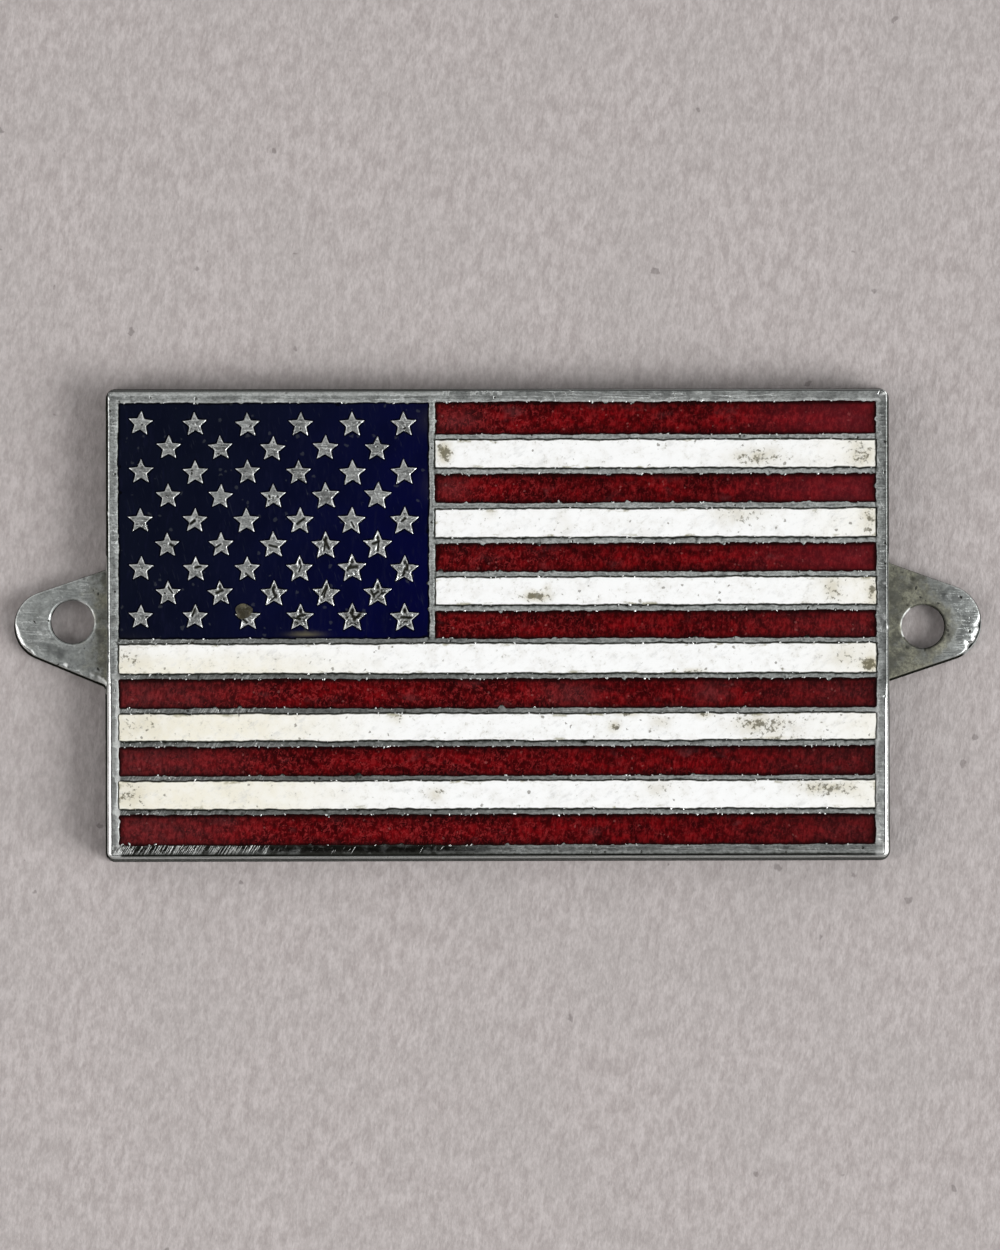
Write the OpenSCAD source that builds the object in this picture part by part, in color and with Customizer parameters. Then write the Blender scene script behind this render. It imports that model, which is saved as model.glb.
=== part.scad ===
// Enamelled flag badge for a dashboard: a die-struck, chromed plate with an ear at each end,
// and a body of fired enamel in each of its cells.
// The back lies flat on z = 0, the face looks along +Z, and the flag's top edge is towards +Y.

/* [Plate] */
// Width of the plate, without its ears
plate_w = 57; // [50:0.5:66]
// Height of the plate
plate_h = 34; // [30:0.5:42]
// Thickness from the flat back to the ground face
plate_t = 2.5; // [2.1:0.1:3.5]
// Corner radius of the plate, seen from the front
corner_r = 0.5; // [0.2:0.05:0.8]
// Radius of the polished edge that runs round the face
edge_r = 0.3; // [0.1:0.05:0.5]

/* [Cells] */
// Width of the rim round the flag, with the polished edge
rim_w = 0.92; // [0.7:0.02:1.6]
// Width of the metal walls between the colours, at the face
wall_w = 0.48; // [0.3:0.02:0.8]
// Depth of the cells below the face
cell_depth = 0.7; // [0.4:0.05:0.9]
// Draft of the cell walls, in degrees
cell_draft = 6; // [1:1:12]
// How far the ground enamel lies below the metal
enamel_sink = 0.08; // [0.04:0.01:0.15]

/* [Flag] */
// How much taller the first and last stripes are than those between them
end_stripe_extra = 0.16; // [0:0.02:0.4]
// Width of the blue field, at the face
canton_w = 22.6; // [20:0.2:26]
// Radius of a star, from its centre to a point, at the face
star_r = 0.92; // [0.7:0.02:1]
// Radius of a star's inner corners, as a share of the radius to its points
star_waist = 0.45; // [0.38:0.01:0.6]
// How much more a star measures at its foot, in radius
star_flare = 0.08; // [0.02:0.01:0.12]
// Bevel round the top of a star
star_bevel = 0.06; // [0.02:0.01:0.1]
// Share by which grinding has widened the star that is lowest and furthest right
star_grind = 0.18; // [0:0.02:0.2]
// From the blue field's side edge to the nearest star centres
star_inset_x = 1.7; // [1.4:0.1:2.2]
// From the blue field's upper or lower edge to the nearest star centres
star_inset_y = 1.55; // [1.4:0.05:2]

/* [Ears] */
// How far an ear reaches out from the plate
ear_reach = 6.7; // [6:0.1:9]
// Width of an ear where it leaves the plate, without its fillets
ear_root_w = 8.2; // [6:0.1:12]
// Radius of an ear's rounded nose
ear_nose_r = 2.4; // [2.2:0.1:2.8]
// Thickness of an ear
ear_t = 1.1; // [0.8:0.05:1.6]
// Softening round the front of an ear
ear_bevel = 0.22; // [0.1:0.02:0.4]
// Radius of the fillets where an ear meets the plate
ear_fillet_r = 0.3; // [0.2:0.1:1.2]
// Diameter of the screw holes
hole_d = 3.2; // [2.6:0.1:3.6]
// Distance of a screw hole's centre from the plate
hole_out = 2.6; // [2.4:0.1:2.8]
// Countersunk softening round the front of a screw hole
hole_bevel = 0.15; // [0.05:0.05:0.3]

/* [Hidden] */
// Stripes in the flag, of which the blue field stands beside the first seven
stripes = 13;
canton_stripes = 7;
star_rows = 9;
long_row = 6;
over = 0.5; // how far a cut runs past what it cuts
lap = 0.1; // how far a star runs past the cell's floor and the face
ear_bite = 1; // how far an ear runs into the plate
weld = 0.03; // how far a fillet's ends run into the ear and the plate

window_w = plate_w - 2 * rim_w;
window_h = plate_h - 2 * rim_w;
stripe_pitch = (window_h + wall_w - 2 * end_stripe_extra) / stripes;
canton_h = canton_stripes * stripe_pitch - wall_w + end_stripe_extra;
short_w = window_w - canton_w - wall_w;
floor_z = plate_t - cell_depth;
enamel_z = plate_t - enamel_sink;
star_step_x = (canton_w - 2 * star_inset_x) / (2 * (long_row - 1));
star_step_y = (canton_h - 2 * star_inset_y) / (star_rows - 1);
nose_x = ear_reach - ear_nose_r;
// A star is bevelled only where it stands out of the enamel
crest = min(star_bevel, 0.8 * enamel_sink);

$fn = 64;

// Half the width that a cell of this width at the face has at height z
function half_at(width, z) = width / 2 - (plate_t - z) * tan(cell_draft);

// Height, and middle, of the stripe with this number, counted from 0 at the top
function stripe_h(i) =
    stripe_pitch - wall_w + (i == 0 || i == stripes - 1 ? end_stripe_extra : 0);
function stripe_y(i) =
    window_h / 2 - i * stripe_pitch - (i == 0 ? 0 : end_stripe_extra) - stripe_h(i) / 2;

function stripe_w(i) = i < canton_stripes ? short_w : window_w;
function stripe_x(i) = (window_w - stripe_w(i)) / 2;

function canton_x() = (canton_w - window_w) / 2;
function canton_y() = (window_h - canton_h) / 2;

// Corners of a five-pointed star that stands on two points
function star_points(r) = [
    for (i = [0:9]) let (reach = i % 2 == 0 ? r : r * star_waist, turn = 90 + 36 * i)
        reach * [cos(turn), sin(turn)]
];

// Radius of the star in this half-column and row: a deeper grind shows more of its flared flank
function ground_r(column, row) =
    star_r * (1 + star_grind * column / (2 * (long_row - 1)) * row / (star_rows - 1));

// Where the straight side of an ear runs into its nose, from the ear's root at x = 0
function ear_tangent() =
    let (
        half = ear_root_w / 2,
        span = norm([nose_x, half]),
        turn = asin(ear_nose_r / span) - atan2(half, nose_x),
        side = sqrt(span * span - ear_nose_r * ear_nose_r)
    )
    [side * cos(turn), half + side * sin(turn)];

// Trapezium across a cell from its floor up to z = top
module cell_profile(width, top) {
    low = half_at(width, floor_z);
    high = half_at(width, top);
    polygon([[-low, floor_z], [low, floor_z], [high, top], [-high, top]]);
}

// A drafted cell, or what fills it, from the floor of the cell up to z = top
module cell(w, h, top) {
    intersection() {
        rotate([90, 0, 0])
            linear_extrude(h + 2 * over, center = true) cell_profile(w, top);
        rotate([90, 0, 90])
            linear_extrude(w + 2 * over, center = true) cell_profile(h, top);
    }
}

// Solid with five points, lofted through [radius, height] levels from the lowest up
module star_loft(levels) {
    rings = len(levels);
    polyhedron(
        points = [
            for (level = levels, corner = star_points(level[0])) [corner.x, corner.y, level[1]]
        ],
        faces = [
            [for (i = [0:9]) i],
            for (ring = [1:rings - 1], i = [0:9])
                let (next = (i + 1) % 10, low = 10 * (ring - 1), high = 10 * ring)
                [low + i, high + i, high + next, low + next],
            [for (i = [9:-1:0]) 10 * (rings - 1) + i]
        ]
    );
}

// What a star fills of the blue field's cell: a flared flank and, where it stands out of the
// enamel, a bevel; both run on past the floor and the face that cut them off
module star(r, bevelled) {
    flare = star_flare / cell_depth;
    low = [r + flare * (cell_depth - crest + lap), floor_z - lap];
    star_loft(bevelled
        ? [low, [r, plate_t - crest], [r - crest - lap, plate_t + lap]]
        : [low, [r - flare * (crest + lap), plate_t + lap]]);
}

// Nine rows of stars, six and five in turn
module star_field(bevelled) {
    for (row = [0:star_rows - 1], column = [row % 2:2:2 * (long_row - 1)])
        translate([
            star_inset_x - canton_w / 2 + column * star_step_x,
            canton_h / 2 - star_inset_y - row * star_step_y
        ])
            star(ground_r(column, row), bevelled);
}

// The blue field's cell up to z = top, with its stars left standing
module canton_cell(top, bevelled) {
    translate([canton_x(), canton_y()]) difference() {
        cell(canton_w, canton_h, top);
        star_field(bevelled);
    }
}

module stripe_cell(i, top) {
    translate([stripe_x(i), stripe_y(i)]) cell(stripe_w(i), stripe_h(i), top);
}

// Square with its two upper corners rounded, standing on y = 0
module crowned_profile(w, h, r) {
    translate([-w / 2, 0]) square([w, h - r]);
    translate([r - w / 2, 0]) square([w - 2 * r, h]);
    for (side = [-1, 1])
        translate([side * (w / 2 - r), h - r]) circle(r);
}

// Outline of the plate from the front
module plate_outline() {
    square([plate_w - 2 * corner_r, plate_h], center = true);
    square([plate_w, plate_h - 2 * corner_r], center = true);
    for (x = [-1, 1], y = [-1, 1])
        translate([x * (plate_w / 2 - corner_r), y * (plate_h / 2 - corner_r)])
            circle(corner_r);
}

// The struck blank: its polished edges are crossed quarter rounds, mitred at the corners
module plate_blank() {
    intersection() {
        linear_extrude(plate_t) plate_outline();
        rotate([90, 0, 0]) linear_extrude(plate_h, center = true)
            crowned_profile(plate_w, plate_t, edge_r);
        rotate([90, 0, 90]) linear_extrude(plate_w, center = true)
            crowned_profile(plate_h, plate_t, edge_r);
    }
}

// Front view of an ear whose root is at x = 0, drawn in by a margin all round
module ear_outline(margin) {
    touch = ear_tangent();
    turn = atan2(ear_root_w / 2 - touch.y, touch.x);
    lean = margin / cos(turn);
    half = ear_root_w / 2 + ear_bite * tan(turn) - lean;
    tip = touch - margin * [sin(turn), cos(turn)];
    polygon([[-ear_bite, half], tip, [tip.x, -tip.y], [-ear_bite, -half]]);
    translate([nose_x, 0]) circle(ear_nose_r - margin, $fn = 32);
}

module ear_body() {
    hull() {
        linear_extrude(ear_t - ear_bevel) ear_outline(0);
        linear_extrude(ear_t) ear_outline(ear_bevel);
    }
}

// Web that fills the corner between an ear's side and the plate
module ear_fillet() {
    touch = ear_tangent();
    turn = atan2(ear_root_w / 2 - touch.y, touch.x);
    out = ear_fillet_r - weld;
    reach = out * tan((90 - turn) / 2);
    linear_extrude(ear_t - ear_bevel) difference() {
        translate([0, ear_root_w / 2]) polygon([
            [-edge_r, -ear_root_w / 4],
            [-edge_r, reach],
            [out, reach],
            [reach * cos(turn), -reach * sin(turn)],
            [0, -ear_root_w / 4]
        ]);
        translate([out, ear_root_w / 2 + reach]) circle(ear_fillet_r);
    }
}

module ear() {
    ear_body();
    ear_fillet();
    mirror([0, 1]) ear_fillet();
}

module screw_hole() {
    translate([hole_out, 0, -over]) cylinder(d = hole_d, h = ear_t + 2 * over);
    translate([hole_out, 0, ear_t - hole_bevel])
        cylinder(d1 = hole_d, d2 = hole_d + 2 * (hole_bevel + over), h = hole_bevel + over);
}

module at_each_end() {
    translate([plate_w / 2, 0]) children();
    mirror([1, 0]) translate([plate_w / 2, 0]) children();
}

// The struck metal: plate, rim, cell walls, stars and both ears are one piece
module base_plate() {
    color("silver") difference() {
        union() {
            plate_blank();
            at_each_end() ear();
        }
        canton_cell(plate_t + over, true);
        for (i = [0:stripes - 1]) stripe_cell(i, plate_t + over);
        at_each_end() screw_hole();
    }
}

module blue_canton_enamel() {
    color("midnightblue") canton_cell(enamel_z, false);
}

module stripe_enamel(i, shade) {
    color(shade) stripe_cell(i, enamel_z);
}

base_plate();
blue_canton_enamel();
for (i = [0:stripes - 1]) {
    red = i % 2 == 0;
    name = str(red ? "red_enamel_" : "white_enamel_", floor(i / 2) + 1);
    stripe_enamel(i, red ? "firebrick" : "white");
}
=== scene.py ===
"""Enamelled flag badge for a dashboard.

The struck plate, its stars and its enamel bodies are built again here with the wear of the real
one: hand-stoned edges, dished stars, pitted ears, mottled enamel. Lengths are in millimetres
until a mesh is made, and the frame is the same as the solid model's.
"""

import math
import random

import bmesh
import bpy
from mathutils import Matrix, Vector, noise
from mathutils.geometry import delaunay_2d_cdt


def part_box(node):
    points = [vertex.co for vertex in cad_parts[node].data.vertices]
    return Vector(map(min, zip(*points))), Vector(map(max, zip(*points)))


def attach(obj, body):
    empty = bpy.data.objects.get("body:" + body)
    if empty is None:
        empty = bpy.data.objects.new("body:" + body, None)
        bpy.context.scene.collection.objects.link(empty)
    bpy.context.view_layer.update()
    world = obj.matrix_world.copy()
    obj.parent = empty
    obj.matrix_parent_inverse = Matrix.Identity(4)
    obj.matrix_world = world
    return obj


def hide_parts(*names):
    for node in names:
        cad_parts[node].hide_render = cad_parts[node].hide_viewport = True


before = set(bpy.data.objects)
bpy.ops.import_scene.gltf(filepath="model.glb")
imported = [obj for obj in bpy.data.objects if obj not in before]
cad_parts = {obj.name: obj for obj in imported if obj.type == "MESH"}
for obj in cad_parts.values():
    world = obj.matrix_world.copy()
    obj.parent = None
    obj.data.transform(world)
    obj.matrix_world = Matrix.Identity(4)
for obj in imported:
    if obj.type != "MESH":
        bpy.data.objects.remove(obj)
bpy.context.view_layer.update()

MM = 0.001
NOWHERE_NEAR = 9.0

# Sizes of the solid model; the plating makes the screw holes a touch tighter
PLATE_W, PLATE_H, PLATE_T = 57.0, 34.0, 2.5
CORNER_R, EDGE_R = 0.5, 0.3
CELL_DEPTH, CELL_DRAFT = 0.7, math.radians(6)
ENAMEL_SINK = 0.08
FLOOR_Z = PLATE_T - CELL_DEPTH
ENAMEL_Z = PLATE_T - ENAMEL_SINK
STAR_R, STAR_WAIST, STAR_FLARE = 0.92, 0.45, 0.08
STAR_INSET_X, STAR_INSET_Y = 1.7, 1.55
STAR_ROWS, HALF_COLUMNS = 9, 11
EAR_T, EAR_ROOT_W, EAR_EDGE_R, EAR_FILLET_R = 1.1, 8.5, 0.24, 0.3
HOLE_R, HOLE_OUT = 1.58, 2.6

# Height of the ground face once polished, of the foot of the plate's polished edge and of the
# top of the ears' sides, and how far the stars' corners are cut back
GROUND_Z, EDGE_FOOT_Z, EAR_SIDE_Z = PLATE_T - 0.012, 2.08, 0.78
STAR_BLUNT = 0.035

REDS = [f"red_enamel_{i}" for i in range(1, 8)]
WHITES = [f"white_enamel_{i}" for i in range(1, 7)]
BLUE = "blue_canton_enamel"

# How far each column of stars, and each wall between stripes from the top, strays from its
# even place
COLUMN_DRIFT = [-0.06, 0.01, 0.03, 0.01, -0.01, -0.05, -0.02, -0.03, -0.09, -0.12, -0.10]
WALL_DRIFT = [-0.07, -0.06, -0.12, -0.14, -0.14, -0.09, -0.04, -0.09, -0.11, -0.01, -0.03, -0.02]

# The ears: which end, reach, nose radius, how far the hole sits off centre, how far the ear
# sits off the plate's middle, its tilt in degrees, and the seed and number of its pits
EARS = [
    {
        "side": -1, "reach": 6.78, "nose": 2.45, "hole": 0.28,
        "lift": -0.15, "tilt": -2.0, "seed": 21, "pits": 30,
    },
    {
        "side": 1, "reach": 6.78, "nose": 2.68, "hole": -0.37,
        "lift": 0.14, "tilt": 0.6, "seed": 22, "pits": 46,
    },
]

# Grooves along the walls: from x, y to x, y
GROOVES = [(-28.0, -1.24, -4.9, -1.22), (-4.72, 2.7, -4.70, -1.1), (-27.5, -13.78, -17.5, -13.76)]
# Clusters of bright chips, whose near-white finish is a painted glint: x, y, spread, count
CHIPS = [
    (-27.0, -1.28, 0.7, 5), (-25.3, -1.3, 0.5, 3), (-26.3, -3.68, 1.3, 6), (-22.6, -3.7, 0.4, 2),
    (-27.75, -6.0, 0.1, 4), (-27.7, -10.5, 0.1, 5), (-7.0, -13.8, 0.5, 2), (-24.0, -13.75, 1.5, 4),
    (-25.5, -8.65, 2.3, 9), (-24.5, -6.3, 3.0, 6), (-24.0, -11.2, 3.0, 6), (-17.0, -8.7, 4.0, 6),
    (-25.0, -16.05, 2.5, 6),
]
# Painted glints: near-white spots on the upper edges where highlights fall: x, y, radius
GLINT_SPOTS = [
    (-31.62, -2.88, 0.10), (-31.52, -2.94, 0.08), (-29.75, -3.62, 0.07), (-29.60, -3.68, 0.09),
    (-29.20, -3.84, 0.06), (-29.02, -3.90, 0.08), (-28.86, -3.99, 0.09), (-28.74, -4.10, 0.09),
    (-28.64, -4.24, 0.09), (-28.57, -4.40, 0.08), (28.14, 16.66, 0.10), (28.02, 16.60, 0.07),
    (28.24, 16.76, 0.10), (28.14, 2.85, 0.13), (28.22, 0.40, 0.09), (28.45, -0.30, 0.09),
    (-28.42, 2.40, 0.07), (-28.40, -0.10, 0.08), (-28.42, -2.30, 0.07), (-28.40, 8.10, 0.06),
    (28.26, -16.56, 0.24), (28.30, -16.10, 0.14), (28.32, -15.70, 0.10), (27.74, -15.80, 0.10),
    (27.70, -15.40, 0.09), (27.68, -15.00, 0.07), (27.66, -14.60, 0.05), (25.2, -16.30, 0.05),
]
# Hollows in the ears: x, y, radius
HOLLOWS = [
    (-31.34, 2.80, 0.10), (-30.94, 2.93, 0.09), (-30.68, 2.84, 0.17), (-30.21, 3.34, 0.14),
    (-28.71, 3.74, 0.14), (-32.54, -2.44, 0.10), (-32.22, -2.62, 0.09), (-29.7, -1.1, 0.12),
    (32.91, -0.86, 0.15), (29.88, -1.80, 0.20), (30.25, 3.25, 0.21), (29.55, 3.65, 0.13),
    (29.6, 1.75, 0.15), (30.1, 2.5, 0.16), (32.2, 2.4, 0.14), (33.0, 2.0, 0.12), (29.9, 1.3, 0.12),
]
# Stains on the enamel: x, y, half width, half height, strength
STAINS = [
    (-3.84, 12.51, 0.55, 0.75, 1.4), (18.9, 12.1, 2.0, 0.7, 0.85), (26.5, 12.3, 0.8, 0.8, 1.1),
    (27.1, 7.5, 0.6, 1.0, 0.95), (17.6, 8.0, 1.9, 0.7, 0.6), (-0.6, 8.1, 0.5, 0.5, 0.35),
    (4.8, 7.2, 0.5, 0.8, 0.35), (2.75, 2.0, 0.9, 0.32, 1.9), (3.55, 2.6, 0.35, 0.25, 0.6),
    (24.4, 2.6, 0.8, 0.9, 0.75), (27.3, 2.4, 0.4, 1.0, 0.9), (-26.8, -2.4, 1.4, 1.0, 0.45),
    (27.1, -2.95, 0.6, 0.5, 1.7), (25.6, -2.3, 1.6, 0.8, 0.5), (14.2, -3.45, 0.8, 0.2, 0.9),
    (-26.5, -7.4, 2.2, 1.0, 0.5), (-7.4, -6.9, 0.6, 0.5, 0.6), (9.5, -6.5, 1.0, 0.25, 0.9),
    (8.4, -7.5, 0.5, 0.45, 0.9), (11.8, -7.2, 0.8, 0.4, 0.5), (15.0, -6.65, 0.7, 0.25, 0.9),
    (19.4, -7.4, 2.5, 0.8, 0.9), (20.0, -8.35, 1.6, 0.2, 0.9), (-26.8, -12.4, 1.3, 1.0, 0.7),
    (-4.5, -12.3, 0.6, 0.55, 0.8), (24.0, -12.0, 2.2, 0.5, 1.0), (11.6, -12.1, 1.2, 0.7, 0.4),
    (-20.1, -14.3, 1.2, 0.4, 0.8), (5.3, -5.1, 1.9, 0.9, 0.6), (15.5, -5.0, 1.4, 0.9, 0.5),
    (-3.0, 14.8, 1.8, 0.9, 0.5), (-3.4, 10.0, 1.3, 0.9, 0.55), (-14.0, -0.72, 1.0, 0.16, 1.2),
]


# ---------------------------------------------------------------- shapes in the plane


def perlin(x, y, size, seed=0.0):
    """Smooth noise between about -1 and 1, with lumps of this size."""
    return noise.noise(Vector((x / size, y / size, seed * 7.31 + 0.37)))


def ramp(value, low, high):
    """Runs from 0 at low to 1 at high."""
    return min(1.0, max(0.0, (value - low) / (high - low)))


def line_away(x, y, ax, ay, bx, by):
    """Distance of a point from the line between two others."""
    dx, dy = bx - ax, by - ay
    t = ramp((x - ax) * dx + (y - ay) * dy, 0.0, dx * dx + dy * dy)
    return math.hypot(x - ax - dx * t, y - ay - dy * t)


def rounded_rect(x0, y0, x1, y1, radius, step, corner_steps=3):
    """Points and outward normals round a rectangle, anticlockwise from its lower left corner."""
    points = []
    corners = [(x0, y0, 180), (x1, y0, 270), (x1, y1, 0), (x0, y1, 90)]
    for i, (cx, cy, start) in enumerate(corners):
        mx = cx + radius * (1 if cx == x0 else -1)
        my = cy + radius * (1 if cy == y0 else -1)
        for k in range(corner_steps + 1):
            turn = math.radians(start + 90 * k / corner_steps)
            out = (math.cos(turn), math.sin(turn))
            points.append((mx + radius * out[0], my + radius * out[1], *out))
        nx, ny, _ = corners[(i + 1) % 4]
        side = math.hypot(nx - cx, ny - cy) - 2 * radius
        count = max(2, round(side / step))
        ax, ay, ox, oy = points[-1]
        dx, dy = (nx - cx, ny - cy)
        length = math.hypot(dx, dy)
        for k in range(1, count):
            t = side * k / count / length
            points.append((ax + dx * t, ay + dy * t, ox, oy))
    return points


def star_corners(radius, waist, turn=0.0):
    """The ten corners of a star that stands on two points."""
    return [
        (
            radius * (1 if i % 2 == 0 else waist) * math.cos(turn + math.radians(90 + 36 * i)),
            radius * (1 if i % 2 == 0 else waist) * math.sin(turn + math.radians(90 + 36 * i)),
        )
        for i in range(10)
    ]


def divided(corners, count):
    """A closed outline with each of its sides cut into this many."""
    points = []
    for i, (ax, ay) in enumerate(corners):
        bx, by = corners[(i + 1) % len(corners)]
        points += [(ax + (bx - ax) * k / count, ay + (by - ay) * k / count) for k in range(count)]
    return points


def rounded_off(corners, cut):
    """The outline with its sharp corners cut back, as wear leaves them."""
    points = []
    for i, (x, y) in enumerate(corners):
        for near in (corners[i - 1], corners[(i + 1) % len(corners)]):
            t = min(0.3, cut / math.hypot(near[0] - x, near[1] - y))
            points.append((x + (near[0] - x) * t, y + (near[1] - y) * t))
    return points


def inside(x, y, outline):
    """Whether a point lies in a closed outline."""
    hit = False
    px, py = outline[-1][:2]
    for qx, qy in (point[:2] for point in outline):
        if (qy > y) != (py > y) and x < (px - qx) * (y - qy) / (py - qy) + qx:
            hit = not hit
        px, py = qx, qy
    return hit


# ---------------------------------------------------------------- skins


class Skin:
    """A closed skin that is put together from rings and filled faces."""

    def __init__(self):
        self.points = []
        self.faces = []

    def ring(self, outline, height=None):
        """Adds a closed row of points; height is a number, a function of x and y, or their own."""
        start = len(self.points)
        for point in outline:
            x, y = point[:2]
            if height is None:
                z = point[2]
            else:
                z = height(x, y) if callable(height) else height
            self.points.append((x, y, z))
        return list(range(start, len(self.points)))

    def wall(self, low, high, inward=False):
        """Joins two rings with the same number of points."""
        total = len(low)
        for i in range(total):
            k = (i + 1) % total
            face = (low[i], low[k], high[k], high[i])
            self.faces.append(face[::-1] if inward else face)

    def fill(self, outer, holes=(), loose=(), height=None, upwards=True):
        """Fills between rings, with loose points in between where the face is to be finer."""
        loops = [outer, *holes]
        keys = [i for loop in loops for i in loop]
        first = len(self.points)
        self.points += [(x, y, height(x, y)) for x, y in loose]
        keys += range(first, len(self.points))
        flat = [Vector(self.points[i][:2]) for i in keys]
        bounds, start = [], 0
        for loop in loops:
            bounds.append(list(range(start, start + len(loop))))
            start += len(loop)
        _, _, triangles, origin, _, within = delaunay_2d_cdt(flat, [], bounds, 0, 1e-7)
        for triangle, regions in zip(triangles, within):
            if list(regions) == [0]:
                face = tuple(keys[origin[i][0]] for i in triangle)
                self.faces.append(face if upwards else face[::-1])

    def mesh(self, name):
        """The skin as a mesh, in metres."""
        data = bpy.data.meshes.new(name)
        data.from_pydata([tuple(c * MM for c in p) for p in self.points], [], self.faces)
        data.update()
        return data


def scattered(x0, y0, x1, y1, step, keep, seed):
    """Loose points on a shaken grid, where keep(x, y) allows them."""
    draw = random.Random(seed)
    columns = max(1, int((x1 - x0) / step))
    rows = max(1, int((y1 - y0) / step))
    found = []
    for i in range(columns):
        for k in range(rows):
            x = x0 + (i + 0.5 + draw.uniform(-0.25, 0.25)) * (x1 - x0) / columns
            y = y0 + (k + 0.5 + draw.uniform(-0.25, 0.25)) * (y1 - y0) / rows
            if keep(x, y):
                found.append((x, y))
    return found


def finished(name, data, material, crease=40):
    """Makes an object of a mesh, smooth but for its real edges."""
    data.shade_smooth()
    data.set_sharp_from_angle(angle=math.radians(crease))
    data.materials.clear()
    data.materials.append(material)
    piece = bpy.data.objects.new(name, data)
    bpy.context.scene.collection.objects.link(piece)
    return piece


def write_marks(data, name, values):
    """Writes a number onto each point of a mesh, for its material to read."""
    layer = data.attributes.get(name)
    if layer is None:
        layer = data.attributes.new(name, "FLOAT", "POINT")
    layer.data.foreach_set("value", values)


def read_marks(data, name):
    """The number that is written onto each point of a mesh."""
    values = [0.0] * len(data.vertices)
    data.attributes[name].data.foreach_get("value", values)
    return values


def marked(data, name, value):
    """Writes value(x, y, z) onto each point of a mesh."""
    write_marks(data, name, [value(*(c / MM for c in v.co)) for v in data.vertices])


# ---------------------------------------------------------------- cells and stars


class Cell:
    """One of the plate's cells: its box at the face and its ragged, hand-stoned lip."""

    def __init__(self, node, upper, lower, seed):
        """Upper and lower count the walls that bound the cell, 0 and 13 being the rim."""
        low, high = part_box(node)
        slack = ENAMEL_SINK * math.tan(CELL_DRAFT)
        drift = [0.0, *WALL_DRIFT, 0.0]
        self.node, self.seed = node, seed
        self.white = node.startswith("white")
        self.lip = 0.115 if self.white else 0.05
        self.x0, self.y0 = low[0] / MM - slack, low[1] / MM - slack + drift[lower]
        self.x1, self.y1 = high[0] / MM + slack, high[1] / MM + slack + drift[upper]
        self.y1 += {0: 0.065 if node == BLUE else 0.11, 7: 0.09, 8: 0.08, 12: 0.07}.get(upper, 0.04)
        self.y0 -= 0.0 if self.white else {3: 0.0, 7: 0.0, 11: 0.06, 13: 0.0}.get(lower, 0.03)
        self.x1 -= 0.09 * ramp(-self.y1, 5.5, 9.0)
        self.x0 -= 0.05

    def wander(self, x, y):
        """How far the hand-stoned lip strays outwards; burrs lean in over the enamel."""
        far = 0.05 * perlin(x, y, 2.3, self.seed) + 0.05 * perlin(x, y, 0.9, self.seed + 1)
        far += 0.045 * perlin(x, y, 0.35, self.seed + 2)
        if self.white:
            return far
        burr = perlin(x, y, 0.45, self.seed + 3) - 0.42
        return far - 0.7 * max(0.0, burr)

    def outline(self, out, ragged=1.0, step=0.12):
        """The cell's outline moved outwards, with its wander from the straight line."""
        moved = []
        for x, y, nx, ny in rounded_rect(self.x0, self.y0, self.x1, self.y1, 0.14, step):
            far = out + ragged * self.wander(x, y)
            moved.append((x + nx * far, y + ny * far))
        return moved

    def depth_in(self, x, y):
        """How far inside the cell's straight edge a point lies."""
        return min(x - self.x0, self.x1 - x, y - self.y0, self.y1 - y)

    def depth_from_lip(self, x, y):
        """How far inside the cell's ragged edge a point lies."""
        return self.depth_in(x, y) + self.wander(x, y)

    def shade(self, x, y):
        """Painted shadow along the borders of a translucent body, deepest under its upper wall."""
        top, foot = max(0.0, self.y1 - y), max(0.0, y - self.y0)
        left, right = max(0.0, x - self.x0), max(0.0, self.x1 - x)
        near = max(
            math.exp(-((top / 0.28) ** 4)),
            0.98 * math.exp(-((left / 0.26) ** 4)),
            math.exp(-((right / 0.27) ** 4)),
            0.95 * math.exp(-((foot / 0.21) ** 3)),
        )
        wide = max(
            0.52 * math.exp(-((top / 0.65) ** 2)),
            0.42 * math.exp(-((left / 0.6) ** 2)),
            0.62 * math.exp(-((right / 0.75) ** 2)),
            0.48 * math.exp(-((foot / 0.5) ** 2)),
        )
        return max(near, wide)


canton = Cell(BLUE, 0, 7, 0.0)
cells = [canton]
cells += [Cell(node, 2 * i, 2 * i + 1, 10.0 + 10 * i) for i, node in enumerate(REDS)]
cells += [Cell(node, 2 * i + 1, 2 * i + 2, 80.0 + 10 * i) for i, node in enumerate(WHITES)]


def star_places():
    """Centre, radius, turn and wear of each star, six and five to a row."""
    draw = random.Random(50)
    step_x = (canton.x1 - canton.x0 - 2 * STAR_INSET_X) / (HALF_COLUMNS - 1)
    step_y = (canton.y1 - canton.y0 - 2 * STAR_INSET_Y) / (STAR_ROWS - 1)
    places = []
    for row in range(STAR_ROWS):
        for column in range(row % 2, HALF_COLUMNS, 2):
            across, down = column / (HALF_COLUMNS - 1), row / (STAR_ROWS - 1)
            ground = ramp(across, 0.25, 0.85) * ramp(down, 0.1, 0.5)
            wear = (0.25 + 0.9 * across) * max(0.0, down - 0.3) * 1.7 + draw.uniform(-0.16, 0.2)
            places.append(
                {
                    "x": canton.x0 + STAR_INSET_X + column * step_x
                    + COLUMN_DRIFT[column] + draw.gauss(0, 0.03),
                    "y": canton.y1 - STAR_INSET_Y - row * step_y
                    + 0.03 - 0.09 * across + draw.gauss(0, 0.03),
                    "size": STAR_R * (1.045 + 0.155 * ground) * draw.uniform(0.975, 1.03),
                    "turn": math.radians(draw.gauss(0, 2.0)),
                    "rough": ramp(wear, 0.0, 1.0),
                }
            )
    return places


stars = star_places()


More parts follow.
